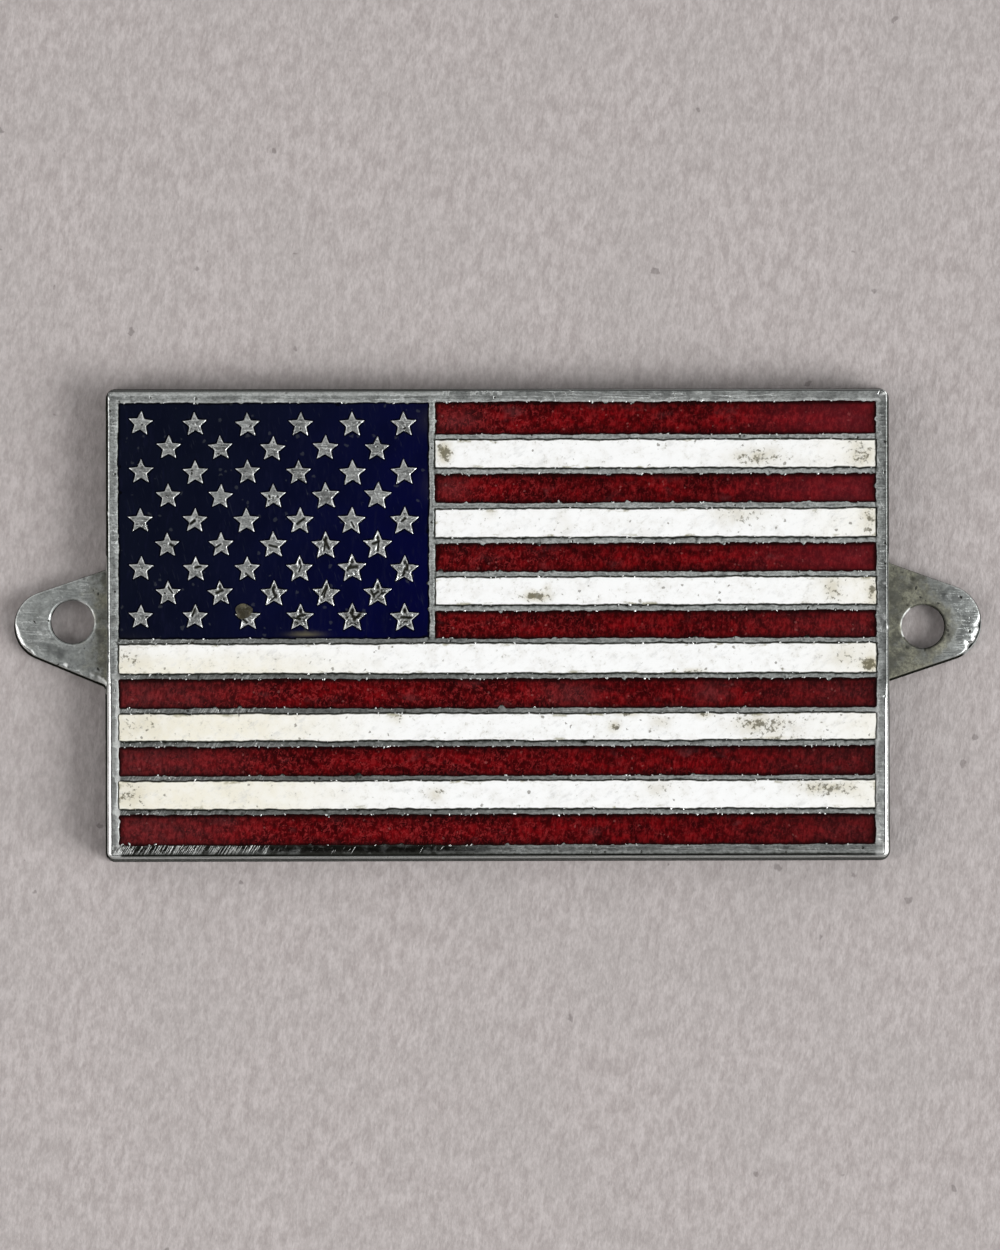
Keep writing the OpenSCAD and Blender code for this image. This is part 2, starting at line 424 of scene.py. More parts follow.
def placed_star(star, extra, count=4):
    """Outline of a star on the badge, grown by extra."""
    reach = star["size"] + extra
    corners = rounded_off(star_corners(reach, STAR_WAIST, star["turn"]), STAR_BLUNT)
    return [(star["x"] + x, star["y"] + y) for x, y in divided(corners, count)]


def star_reach(dx, dy, turn=0.0):
    """How far a star of 1 mm radius reaches in this direction, roughly."""
    fifth = math.radians(72)
    off = (math.atan2(dy, dx) - turn - math.radians(90)) % fifth
    off = min(off, fifth - off) / (fifth / 2)
    return 1 - (1 - STAR_WAIST) * off**0.62


def star_gap(x, y):
    """Distance from the nearest star's outline, roughly, and negative inside it."""
    nearest = NOWHERE_NEAR
    for star in stars:
        dx, dy = x - star["x"], y - star["y"]
        away = math.hypot(dx, dy)
        if away < 2.2:
            nearest = min(nearest, away - star["size"] * star_reach(dx, dy, star["turn"]))
    return nearest


# ---------------------------------------------------------------- struck plate


def groove_near(x, y):
    """How close a point lies to a groove in a wall, 1 in its middle."""
    near = 0.0
    for ends in GROOVES:
        away = line_away(x, y, *ends)
        if away < 0.3:
            whole = ramp(0.65 + 0.9 * perlin(x, y, 1.4, 12), 0.0, 1.0)
            near = max(near, whole * math.exp(-((away / 0.055) ** 2)))
    return near


def groove_points():
    """Loose points that give the grooves their shape."""
    step, found = 0.09, []
    for ax, ay, bx, by in GROOVES:
        length = math.hypot(bx - ax, by - ay)
        ux, uy = (bx - ax) / length, (by - ay) / length
        for k in range(int(length / step)):
            for off in (-0.06, 0.0, 0.06):
                found.append((ax + ux * k * step - uy * off, ay + uy * k * step + ux * off))
    return found


def face_z(x, y):
    """Height of the ground face, which hand polishing has left a little uneven."""
    z = GROUND_Z + 0.007 * perlin(x, y, 1.7, 3) + 0.004 * perlin(x, y, 0.45, 4)
    return z - 0.06 * groove_near(x, y)


def rubbed(x, y):
    """How much handling has rounded and polished the outer edge at this place; it also places the
    edge's painted highlight, and its painted shade where it is low.
    """
    return ramp(-y, 2.6, 5.0) if x < 0 else 0.75 * ramp(-y, 4.2, 6.2)


def roundness(x, y, nx, ny):
    """How round the outer edge is, 1 being the drawing's: crisp above, round where handled."""
    return nx * nx * (0.5 + 0.6 * rubbed(x, y)) + ny * ny * (0.4 if ny > 0 else 0.8)


def edge_shift(x, y):
    """How far wear has set the end edges back from their drawn line."""
    return 0.08 if x > 0 else 0.12 - 0.07 * rubbed(x, y)


def edge_ring(inset=0.0, drop=0.0, wear=1.0, flare=0.0):
    """The plate's outline, drawn in and down by the edge's rounding and spread by a flare."""
    half_w, half_h = PLATE_W / 2, PLATE_H / 2
    moved = []
    for x, y, nx, ny in rounded_rect(-half_w, -half_h, half_w, half_h, CORNER_R, 0.2, 8):
        share = roundness(x, y, nx, ny)
        far = wear * (0.016 * perlin(x, y, 2.6, 1) + 0.010 * perlin(x, y, 0.5, 2))
        spread = 0.22 - 0.10 * ny + (0.02 if nx > 0 else 0.06) * abs(nx)
        far += flare * spread - inset * share - abs(nx) * edge_shift(x, y)
        far += ny * (0.085 - 0.0015 * x) if ny > 0 else -0.04 * ny
        moved.append((x + nx * far, y + ny * far, GROUND_Z - drop * share))
    return moved


def edge_gap(x, y):
    """Distance inside the plate's drawn outline, negative outside it."""
    qx, qy = abs(x) - PLATE_W / 2 + CORNER_R, abs(y) - PLATE_H / 2 + CORNER_R
    return CORNER_R - math.hypot(max(qx, 0.0), max(qy, 0.0)) - min(max(qx, qy), 0.0)


def plate_block():
    """The plate's back, sides and polished edge, closed by one flat face that comes off later."""
    skin = Skin()
    sides = (
        (0.0, 0.7, 0.0), (0.0, 0.93, 0.025), (0.0, 1.0, 0.09), (0.3, 0.75, 0.8), (0.8, 0.2, 2.05)
    )
    rings = [skin.ring(edge_ring(wear=wear, flare=flare), z) for wear, flare, z in sides]
    for k in range(8):
        turn = math.radians(90 * k / 7)
        inset, drop = EDGE_R * (1 - math.cos(turn)), EDGE_R * (1 - math.sin(turn))
        rings.append(skin.ring(edge_ring(inset, drop)))
    for low, high in zip(rings, rings[1:]):
        skin.wall(low, high)
    skin.faces.append(tuple(rings[0][::-1]))
    skin.faces.append(tuple(rings[-1]))
    return skin, edge_ring(EDGE_R)


def plate_face(border):
    """The ground face with its walls, and the cells down to their floors."""
    skin = Skin()
    rim = skin.ring(border)
    lips, outlines = [], []
    for cell in cells:
        lip = cell.outline(cell.lip)
        levels = [
            skin.ring(lip, face_z),
            skin.ring(cell.outline(cell.lip - 0.02), lambda x, y: face_z(x, y) - 0.008),
            skin.ring(cell.outline(cell.lip - 0.045), lambda x, y: face_z(x, y) - 0.045),
            skin.ring(cell.outline(-0.012), PLATE_T - 0.16),
            skin.ring(cell.outline(-CELL_DEPTH * math.tan(CELL_DRAFT), 0.3), FLOOR_Z),
        ]
        for high, low in zip(levels, levels[1:]):
            skin.wall(low, high, inward=True)
        skin.fill(levels[-1], upwards=True)
        lips.append(levels[0])
        outlines.append((cell, lip))

    def on_metal(x, y):
        if abs(x) > PLATE_W / 2 - 1.25 * EDGE_R - 0.06 or abs(y) > PLATE_H / 2 - EDGE_R - 0.06:
            return False
        return all(cell.depth_in(x, y) < -0.19 for cell in cells)

    half_w, half_h = PLATE_W / 2 - EDGE_R, PLATE_H / 2 - EDGE_R
    loose = scattered(-half_w, -half_h, half_w, half_h, 0.17, on_metal, 7)
    loose += [p for p in groove_points() if on_metal(*p)]
    skin.fill(rim, lips, loose, face_z)
    return skin


# ---------------------------------------------------------------- ears


def ear_outline(ear, inset, step=0.12):
    """Front view of an ear with its root at x = 0, anticlockwise, drawn in by an inset."""
    half, nose_x = EAR_ROOT_W / 2, ear["reach"] - ear["nose"]
    span = math.hypot(nose_x, half)
    lean = math.atan2(half, nose_x) - math.asin(ear["nose"] / span)
    side = math.sqrt(span**2 - ear["nose"] ** 2)
    reach = EAR_FILLET_R * math.tan((math.pi / 2 - lean) / 2)
    upper = []
    for k in range(9):
        swing = math.pi + (math.pi / 2 - lean) * k / 8
        radius = EAR_FILLET_R + inset
        x, y = radius * math.cos(swing), radius * math.sin(swing)
        upper.append((EAR_FILLET_R + x, half + reach + y))
    count = round((side - reach) / step)
    for k in range(1, count):
        far = reach + (side - reach) * k / count
        upper.append(
            (
                far * math.cos(lean) - inset * math.sin(lean),
                half - far * math.sin(lean) - inset * math.cos(lean),
            )
        )
    for k in range(21):
        swing = (math.pi / 2 - lean) * (1 - k / 20)
        radius = ear["nose"] - inset
        upper.append((nose_x + radius * math.cos(swing), radius * math.sin(swing)))
    return [(x, -y) for x, y in upper] + upper[-2::-1]


def ear_shine(ear, x, y):
    """How far handling has rounded and polished the edge of an ear, x counting from its root."""
    if ear["side"] < 0:
        nose = ramp(x, 5.25, 5.55) * ramp(-y, 0.05, 0.4)
        foot = ramp(-x, -0.95, -0.65) * ramp(-y, 3.2, 3.5)
        nicks = max(math.exp(-(((x - nx) / 0.17) ** 2)) for nx in (3.1, 1.25, 2.0))
        return max(0.85 * max(nose, foot), 0.6 * nicks * ramp(-y, 1.5, 1.8))
    ragged = 1.05 + 1.2 * perlin(x, y, 0.33, 31)
    return 1.5 * ramp(x, 5.5, 5.95) * ramp(-y, -0.45, 0.05) * ragged


def ear_skin(ear):
    """One ear, from a bite inside the plate to its worn nose; its hole sits off centre."""
    skin = Skin()
    seed, hole_y = ear["seed"], ear["hole"]
    draw = random.Random(seed)
    bite, between = 0.5, 0.4
    dents = [
        (draw.uniform(0.2, 4.2), draw.uniform(-3.4, 3.4), draw.uniform(0.05, 0.12))
        for _ in range(ear["pits"])
    ]
    dents += [
        (abs(x) - PLATE_W / 2, y - ear["lift"], size)
        for x, y, size in HOLLOWS
        if x * ear["side"] > 0
    ]

    def top_z(x, y):
        nose = max(0.0, (x - 3.4) / (ear["reach"] - 3.4))
        z = EAR_T - 0.18 * nose**2 - 0.004 * y * y
        z += 0.014 * perlin(x, y, 1.3, seed) + 0.008 * perlin(x, y, 0.4, seed + 1)
        ring = math.hypot(x - HOLE_OUT, y - hole_y) - HOLE_R
        z += 0.02 * math.exp(-(((ring - 0.25) / 0.16) ** 2))
        for dx, dy, size in dents:
            away = math.hypot(x - dx, y - dy)
            if away < 2 * size:
                z -= 0.3 * size * math.exp(-((away / size) ** 2) * 2)
        return z

    def closed(points):
        top = points[-1][1]
        return [*points, (-bite, top), (-bite, -top)]

    def worn(x, y):
        return 0.02 * perlin(x, y, 1.1, seed + 5) + 0.012 * perlin(x, y, 0.3, seed + 6)

    outer, inner = closed(ear_outline(ear, 0.0)), closed(ear_outline(ear, between))
    pairs = [
        (*o, *i, 0.4 + ear_shine(ear, *o) * (1 + 0.5 * perlin(*o, 0.5, seed + 9)))
        for o, i in zip(outer, inner)
    ]

    def drawn_in(inset, drop=None):
        """The outline drawn in by an inset, more where the edge is round, and let down likewise."""
        moved = []
        for ox, oy, ix, iy, share in pairs:
            far = inset * share / between if drop is not None else inset / between
            x, y = ox + (ix - ox) * far, oy + (iy - oy) * far
            fall = (drop or 0.0) * share
            moved.append((x, y, top_z(x, y) - fall + worn(x, y) * fall / EAR_EDGE_R))
        return moved

    rings = []
    for inset, shift, z in (
        (-0.06, 0.09, 0.0), (-0.12, 0.09, 0.05), (-0.10, 0.07, 0.35), (-0.02, 0.01, 0.75)
    ):
        rings.append(skin.ring([(x, y - shift) for x, y, _ in drawn_in(inset)], z))
    for k in range(6):
        turn = math.radians(90 * k / 5)
        inset, drop = EAR_EDGE_R * (1 - math.cos(turn)), EAR_EDGE_R * (1 - math.sin(turn))
        rings.append(skin.ring(drawn_in(inset, drop)))
    for low, high in zip(rings, rings[1:]):
        skin.wall(low, high)

    def circle(radius):
        return [
            (HOLE_OUT + radius * math.cos(a), hole_y + radius * math.sin(a))
            for a in (2 * math.pi * k / 72 for k in range(72))
        ]

    holes = [
        skin.ring(circle(HOLE_R + 0.14), top_z),
        skin.ring(circle(HOLE_R + 0.08), lambda x, y: top_z(x, y) - 0.025),
        skin.ring(circle(HOLE_R + 0.02), lambda x, y: top_z(x, y) - 0.09),
        skin.ring(circle(HOLE_R), lambda x, y: top_z(x, y) - 0.2),
        skin.ring(circle(HOLE_R), 0.05),
        skin.ring(circle(HOLE_R + 0.04), 0.0),
    ]
    for high, low in zip(holes, holes[1:]):
        skin.wall(low, high, inward=True)

    outline = drawn_in(EAR_EDGE_R + 0.05, 0.0)

    def keep(x, y):
        return math.hypot(x - HOLE_OUT, y - hole_y) > HOLE_R + 0.2 and inside(x, y, outline)

    loose = scattered(0.02, -6, ear["reach"], 6, 0.12, keep, seed)
    skin.fill(rings[-1], [holes[0]], loose, top_z)
    skin.fill(rings[0], [holes[-1]], upwards=False)
    return skin


def on_badge(ear, x, y):
    """Where a point of an ear lies once the ear is set, tilted, against its end of the plate."""
    spot = Matrix.Rotation(-math.radians(ear["tilt"]), 2) @ Vector((x, y))
    return ear["side"] * (PLATE_W / 2 + spot.x), spot.y + ear["lift"]


def off_badge(x, y):
    """The nearer ear, and the same point counted from its root."""
    ear = EARS[0] if x < 0 else EARS[1]
    spot = Vector((abs(x) - PLATE_W / 2, y - ear["lift"]))
    spot = Matrix.Rotation(math.radians(ear["tilt"]), 2) @ spot
    return ear, spot.x, spot.y


def placed_ear(ear):
    """An ear's skin where it sits on the badge."""
    skin = ear_skin(ear)
    skin.points = [(*on_badge(ear, x, y), z) for x, y, z in skin.points]
    if ear["side"] < 0:
        skin.faces = [face[::-1] for face in skin.faces]
    return skin


# ---------------------------------------------------------------- materials


class Wiring:
    """A node tree that is being wired up."""

    prefix = ""

    def __init__(self, tree):
        self.tree = tree

    def add(self, kind, settings=None, **sockets):
        """A new node, with its settings and what its inputs take."""
        node = self.tree.nodes.new(self.prefix + kind)
        for key, value in (settings or {}).items():
            setattr(node, key, value)
        for key, value in sockets.items():
            self.plug(node.inputs[key.replace("_", " ")], value)
        return node

    def plug(self, socket, value):
        """Links an output to an input, or sets the input to a plain value."""
        if isinstance(value, bpy.types.NodeSocket):
            self.tree.links.new(value, socket)
        else:
            socket.default_value = value

    def math(self, operation, *values, clamp=False):
        """One step of arithmetic."""
        node = self.tree.nodes.new("ShaderNodeMath")
        node.operation, node.use_clamp = operation, clamp
        for socket, value in zip(node.inputs, values):
            self.plug(socket, value)
        return node.outputs[0]

    def times(self, first, second, clamp=False):
        return self.math("MULTIPLY", first, second, clamp=clamp)

    def plus(self, first, second):
        return self.math("ADD", first, second)

    def minus(self, first, second):
        return self.math("SUBTRACT", first, second)

    def larger(self, first, second):
        return self.math("MAXIMUM", first, second)

    def shifted(self, operation, vector, by):
        """A vector changed by another one, or by a number where the operation is SCALE."""
        node = self.tree.nodes.new("ShaderNodeVectorMath")
        node.operation = operation
        self.plug(node.inputs[0], vector)
        self.plug(node.inputs["Scale" if operation == "SCALE" else 1], by)
        return node.outputs[0]


class Board(Wiring):
    """The node tree of a material, of an effect that materials share or of the world."""

    prefix = "ShaderNode"

    def span(self, value, low, high, out_low=0.0, out_high=1.0):
        """Value between low and high, eased to run from out_low to out_high."""
        node = self.add("MapRange", {"interpolation_type": "SMOOTHSTEP"}, Value=value)
        for socket, number in zip(node.inputs[1:5], (low, high, out_low, out_high)):
            self.plug(socket, number)
        return node.outputs[0]

    def mix(self, share, first, second):
        """The first colour, with this share of the second over it."""
        node = self.add("Mix", {"data_type": "RGBA"})
        for k, value in ((0, share), (6, first), (7, second)):
            self.plug(node.inputs[k], (*value, 1.0) if isinstance(value, tuple) else value)
        return node.outputs[2]

    def stretched(self, vector, turn, sizes):
        """Coordinates turned about Z and divided by these sizes."""
        node = self.add("VectorRotate", {"rotation_type": "Z_AXIS"}, Vector=vector, Angle=turn)
        return self.shifted("DIVIDE", node.outputs[0], sizes)

    def noise(self, vector, scale=1.0, detail=3.0, roughness=0.5, offset=0.0):
        """Cloudy noise; an offset gives another part of the same field."""
        if offset:
            vector = self.shifted("ADD", vector, (offset, offset * 1.7, offset * 0.6))
        node = self.add("TexNoise", Vector=vector, Scale=scale, Detail=detail, Roughness=roughness)
        return node.outputs["Fac"]

    def attribute(self, name):
        """What the mesh says at this place."""
        node = self.add("Attribute", {"attribute_type": "GEOMETRY", "attribute_name": name})
        return node.outputs["Fac"]

    def bump(self, height, distance):
        """A normal from a height; the distance is in millimetres."""
        return self.add("Bump", Height=height, Distance=distance * MM, Strength=1.0).outputs[0]


def group(name, inputs, outputs, wire):
    """A shared effect: a node group with named inputs and outputs."""
    tree = bpy.data.node_groups.new(name, "ShaderNodeTree")
    for label, kind, default in inputs:
        socket = tree.interface.new_socket(label, in_out="INPUT", socket_type="NodeSocket" + kind)
        if default is not None:
            socket.default_value = default
    for label in outputs:
        tree.interface.new_socket(label, in_out="OUTPUT", socket_type="NodeSocketFloat")
    board = Board(tree)
    given = tree.nodes.new("NodeGroupInput").outputs
    results = wire(board, given)
    end = tree.nodes.new("NodeGroupOutput")
    for label, value in zip(outputs, results):
        board.plug(end.inputs[label], value)
    return tree


def wire_scratches(b, given):
    """Thin straight marks in one direction, gathered in patches."""
    turn, width, length = given["Turn"], given["Width"], given["Length"]
    sizes = b.add("CombineXYZ", X=length, Y=width, Z=1.0).outputs[0]
    lines = b.noise(b.stretched(given["Place"], turn, sizes), 1.0, 1.5, 0.4)
    patches = b.noise(given["Place"], 0.35, 3.0, 0.6, offset=4.0)
    cut = b.minus(0.78, b.times(given["Share"], 0.3))
    fine = b.span(lines, cut, b.plus(cut, 0.09))
    return [b.times(fine, b.span(patches, 0.35, 0.6, 0.25, 1.0))]


def wire_pits(b, given):
    """Round pits of mixed sizes."""
    size = b.add("CombineXYZ", X=given["Size"], Y=given["Size"], Z=given["Size"]).outputs[0]
    place = b.shifted("DIVIDE", given["Place"], size)
    warp = b.add("TexNoise", Vector=place, Scale=1.3, Detail=2.0).outputs["Color"]
    place = b.shifted("ADD", place, b.shifted("SCALE", warp, 0.9))
    spots = b.add("TexVoronoi", {"voronoi_dimensions": "2D"}, Vector=place, Scale=1.0)
    chance = b.add("SeparateColor", Color=spots.outputs["Color"]).outputs[0]
    reach = b.times(b.span(chance, b.minus(1.0, given["Share"]), 1.0), 0.42)
    return [b.span(b.minus(reach, spots.outputs["Distance"]), 0.0, 0.16)]


def wire_squiggles(b, given):
    """Fine worm-like strokes, as the struck ground shows through a clear enamel."""
    sizes = b.add("CombineXYZ", X=given["Width"], Y=given["Length"], Z=1.0).outputs[0]
    field = b.noise(b.stretched(given["Place"], given["Turn"], sizes), 1.0, 1.0, 0.5)
    ridge = b.math("ABSOLUTE", b.minus(field, 0.5))
    patches = b.noise(given["Place"], 2.6, 1.0, 0.5, offset=5.0)
    return [b.times(b.span(ridge, 0.0, 0.07, 1.0, 0.0), b.span(patches, 0.5, 0.6))]


PLACE = ("Place", "Vector", None)


def number(label, value):
    """A group's input that takes a number."""
    return (label, "Float", value)


SCRATCHES = group(
    "straight scratches",
    [
        PLACE, number("Turn", 0.0), number("Width", 0.05), number("Length", 3.0),
        number("Share", 0.5),
    ],
    ["Mask"],
    wire_scratches,
)
PITS = group("round pits", [PLACE, number("Size", 0.4), number("Share", 0.3)], ["Mask"], wire_pits)
SQUIGGLES = group(
    "squiggles",
    [PLACE, number("Turn", 0.25), number("Width", 0.2), number("Length", 0.4)],
    ["Mask"],
    wire_squiggles,
)


def shared(b, tree, **sockets):
    """Places a shared effect in a material and gives its first output."""
    return b.add("Group", {"node_tree": tree}, **sockets).outputs[0]


def new_material(name):
    """A material with its shader, and object coordinates in millimetres."""
    material = bpy.data.materials.new(name)
    material.use_nodes = True
    material.node_tree.nodes.clear()
    b = Board(material.node_tree)
    shader = b.add("BsdfPrincipled")
    b.add("OutputMaterial", Surface=shader.outputs[0])
    place = b.shifted("SCALE", b.add("TexCoord").outputs["Object"], 1000.0)
    return material, b, shader, place


def metal(name, bright, roughness, pit_share, relief, plated=1.0):
    """Worn chrome, with dirt, patina, file marks, painted shade, painted highlights and painted
    glints where the mesh says so.

    Pit_share is how much of it is pitted, relief the height of its bump, and plated how much of
    the plating is left; set low, it gives the chips their near-white painted glints.
    """

    def darker(share):
        return tuple(c * share for c in bright)

    material, b, shader, place = new_material(name)
    lip, patina, filed, polish, worn, stain, rough, dim, glint = (
        b.attribute(key)
        for key in ("lip", "patina", "filed", "polish", "worn", "stain", "rough", "dim", "glint")
    )
    along = shared(b, SCRATCHES, Place=place, Turn=0.04, Width=0.03, Length=2.6, Share=0.6)
    across = shared(b, SCRATCHES, Place=place, Turn=1.1, Width=0.035, Length=1.1, Share=0.35)
    east = b.add("SeparateXYZ", Vector=place).outputs[0]
    share = b.span(east, -20.0, -14.0, 0.9, 0.3)
    hatch = shared(b, SCRATCHES, Place=place, Turn=-1.02, Width=0.07, Length=1.3, Share=share)
    pits = shared(b, PITS, Place=place, Size=0.33, Share=pit_share)
    cloud = b.noise(place, 0.8, 4.0, 0.6)
    fine = b.noise(place, 6.0, 3.0, 0.6)
    blotch = b.noise(place, 1.3, 6.0, 0.62, offset=7.0)
    scuffs = b.times(b.larger(along, across), b.minus(1.0, polish))
    rough = b.plus(b.times(rough, 0.8), b.span(rough, 0.0, 0.01, 0.0, 0.25))
    tarnish = b.times(b.span(b.noise(place, 3.0, 3.0, 0.6), 0.44, 0.58), rough)
    rust = b.plus(blotch, b.times(b.minus(patina, 0.5), 0.5))
    rust = b.span(rust, 0.30, 0.78)
    # The lip mark holds dirt and painted shade alike
    dirt = b.times(lip, b.span(fine, 0.25, 0.6, 0.95, 1.08), clamp=True)
    hatched = b.times(filed, b.span(cloud, 0.36, 0.5, 0.6, 1.0))

    tone = b.mix(b.span(cloud, 0.3, 0.7), darker(0.92), darker(1.12))
    tone = b.mix(b.span(fine, 0.42, 0.7, 0.0, 0.7), tone, darker(0.6))
    grit = b.noise(b.stretched(place, 0.0, (0.26, 0.15, 1.0)), 1.0, 2.0, 0.6, offset=19.0)
    rubbed_clean = b.span(patina, 0.05, 0.14, 1.0, 0.3)
    grit_dark = b.times(b.span(grit, 0.5, 0.64, 0.0, 0.62), rubbed_clean)
    grit_light = b.times(b.span(grit, 0.5, 0.36, 0.0, 0.5), rubbed_clean)
    tone = b.mix(grit_dark, tone, darker(0.42))
    tone = b.mix(grit_light, tone, (0.90, 0.92, 0.91))
    # Darker where the dim mark says; on the right end edge this is painted shade
    tone = b.mix(dim, tone, b.mix(0.5, tone, (0.05, 0.05, 0.045)))
    tone = b.mix(b.times(scuffs, 0.3), tone, (0.75, 0.77, 0.76))
    brown = b.mix(b.span(cloud, 0.40, 0.60), (0.25, 0.245, 0.17), (0.060, 0.057, 0.034))
    brown = b.mix(b.span(fine, 0.4, 0.60, 0.0, 0.6), brown, (0.045, 0.042, 0.026))
    tone = b.mix(b.times(rust, 0.85), tone, brown)
    marks = b.mix(b.span(fine, 0.4, 0.6), (0.50, 0.52, 0.50), (0.9, 0.92, 0.9))
    tone = b.mix(hatched, tone, b.mix(hatch, (0.018, 0.018, 0.015), marks))
    # Dirt and painted shade: near black
    tone = b.mix(dirt, tone, (0.011, 0.012, 0.009))
    tone = b.mix(b.times(b.larger(pits, tarnish), 0.9), tone, (0.028, 0.028, 0.022))
    # Painted highlights, with wear, where the worn mark says
    tone = b.mix(b.times(worn, 0.8), tone, (0.88, 0.90, 0.88))
    # Painted glints: near white, and made less metallic below
    tone = b.mix(glint, tone, (0.93, 0.95, 0.93))
    gum = b.mix(b.span(blotch, 0.38, 0.58), (0.095, 0.085, 0.048), (0.030, 0.026, 0.014))
    tone = b.mix(stain, tone, gum)
    b.plug(shader.inputs["Base Color"], tone)
    dull = b.larger(b.larger(rust, tarnish), dirt)
    clean = b.minus(1.0, b.larger(dirt, b.times(glint, 0.8)))
    clean = b.times(plated, clean)
    metallic = b.times(clean, b.minus(1.0, b.times(dull, 0.7)))
    b.plug(shader.inputs["Specular IOR Level"], b.times(clean, 0.5))
    b.plug(shader.inputs["Metallic"], b.times(metallic, b.minus(1.0, stain)))
    gloss = b.span(cloud, 0.25, 0.75, roughness - 0.05, roughness + 0.06)
    gloss = b.plus(gloss, b.times(dull, 0.2))
    gloss = b.minus(gloss, b.times(polish, roughness - 0.17))
    b.plug(shader.inputs["Roughness"], gloss)
    height = b.times(b.plus(fine, b.times(blotch, 1.6)), 0.8)
    height = b.minus(height, b.times(scuffs, 0.4))
    height = b.minus(height, b.times(pits, 1.5))
    height = b.plus(height, b.times(b.times(hatch, hatched), 1.6))
    b.plug(shader.inputs["Normal"], b.bump(height, relief))
    return material


def enamel(name, roughness):
    """Glossy enamel, ready for its colour, with the broad waves of its firing."""
    material, b, shader, place = new_material(name)
    shader.inputs["Roughness"].default_value = roughness
    shader.inputs["IOR"].default_value = 1.5
    shader.inputs["Specular IOR Level"].default_value = 0.35
    wave = b.noise(place, 0.9, 2.0, 0.5, offset=6.0)
    return material, b, shader, place, wave


def red_enamel():
    """Translucent red, mottled by the struck ground that shows through it."""
    material, b, shader, place, wave = enamel("red enamel", 0.12)
    aside = b.shifted("ADD", place, (31.0, 17.0, 0.0))
    split = b.add("SeparateXYZ", Vector=place)
    east, north = split.outputs[0], split.outputs[1]
    strokes = shared(b, SQUIGGLES, Place=place, Turn=0.2, Width=0.20, Length=0.42)
    curls = shared(b, SQUIGGLES, Place=aside, Turn=1.3, Width=0.20, Length=0.30)
    flecks = b.noise(b.stretched(place, 0.1, (0.18, 0.42, 1.0)), 1.0, 2.0, 0.6)
    clouds = b.noise(b.stretched(place, 0.0, (2.6, 1.3, 1.0)), 1.0, 3.0, 0.55, offset=3.0)
    glow = b.noise(b.stretched(place, 0.3, (0.75, 0.55, 1.0)), 1.0, 2.0, 0.5, offset=8.0)
    tone = b.mix(b.span(clouds, 0.36, 0.64), (0.064, 0.0010, 0.0022), (0.170, 0.0018, 0.0038))
    tone = b.mix(b.span(glow, 0.36, 0.60), b.mix(0.62, tone, (0.018, 0.0004, 0.0008)), tone)
    tone = b.mix(b.span(glow, 0.54, 0.72, 0.0, 0.5), tone, (0.200, 0.0060, 0.0075))
    tone = b.mix(b.span(flecks, 0.38, 0.56), b.mix(0.55, tone, (0.012, 0.0004, 0.0006)), tone)
    tone = b.mix(b.span(flecks, 0.54, 0.68, 0.0, 0.45), tone, (0.240, 0.016, 0.018))
    fading = b.times(b.span(east, -26.0, -16.0, 0.6, 1.0), b.span(east, 0.0, 9.0, 1.0, 0.45))
    tone = b.mix(b.times(b.times(strokes, fading), 0.75), tone, (0.27, 0.019, 0.021))
    tone = b.mix(b.times(b.times(curls, fading), 0.7), tone, (0.30, 0.026, 0.028))
    sparks = shared(b, PITS, Place=place, Size=0.26, Share=0.05)
    tone = b.mix(b.times(sparks, 0.32), tone, (0.42, 0.13, 0.12))
    dull = b.noise(b.stretched(place, 0.0, (2.6, 1.8, 1.0)), 1.0, 4.0, 0.6, offset=11.0)
    dull = b.larger(b.span(dull, 0.56, 0.74, 0.0, 0.7), b.attribute("stain"))
    ends = b.larger(b.span(east, -27.0, -14.0, 0.55, 0.0), b.span(east, 14.0, 28.0, 0.0, 0.3))
    low = b.times(b.span(east, 12.0, 27.0, 0.0, 0.3), b.span(north, -8.0, 0.0, 1.0, 0.0))
    tone = b.mix(low, tone, (0.012, 0.0010, 0.0012))
    high = b.times(b.span(east, 14.0, 27.0, 0.0, 0.35), b.span(north, -1.0, 6.0))
    tone = b.mix(high, tone, (0.190, 0.0060, 0.0150))
    film = b.times(b.larger(dull, ends), b.span(flecks, 0.3, 0.6, 0.4, 1.0))
    tone = b.mix(b.times(film, 0.75), tone, (0.122, 0.035, 0.038))
    # Painted shadow along the cell's borders, near black
    shade = b.attribute("shade")
    tone = b.mix(b.times(shade, 0.93), tone, (0.005, 0.0010, 0.0010))
    b.plug(shader.inputs["Base Color"], tone)
    height = b.plus(wave, b.times(flecks, 0.10))
    b.plug(shader.inputs["Normal"], b.bump(height, 0.02))
    return material


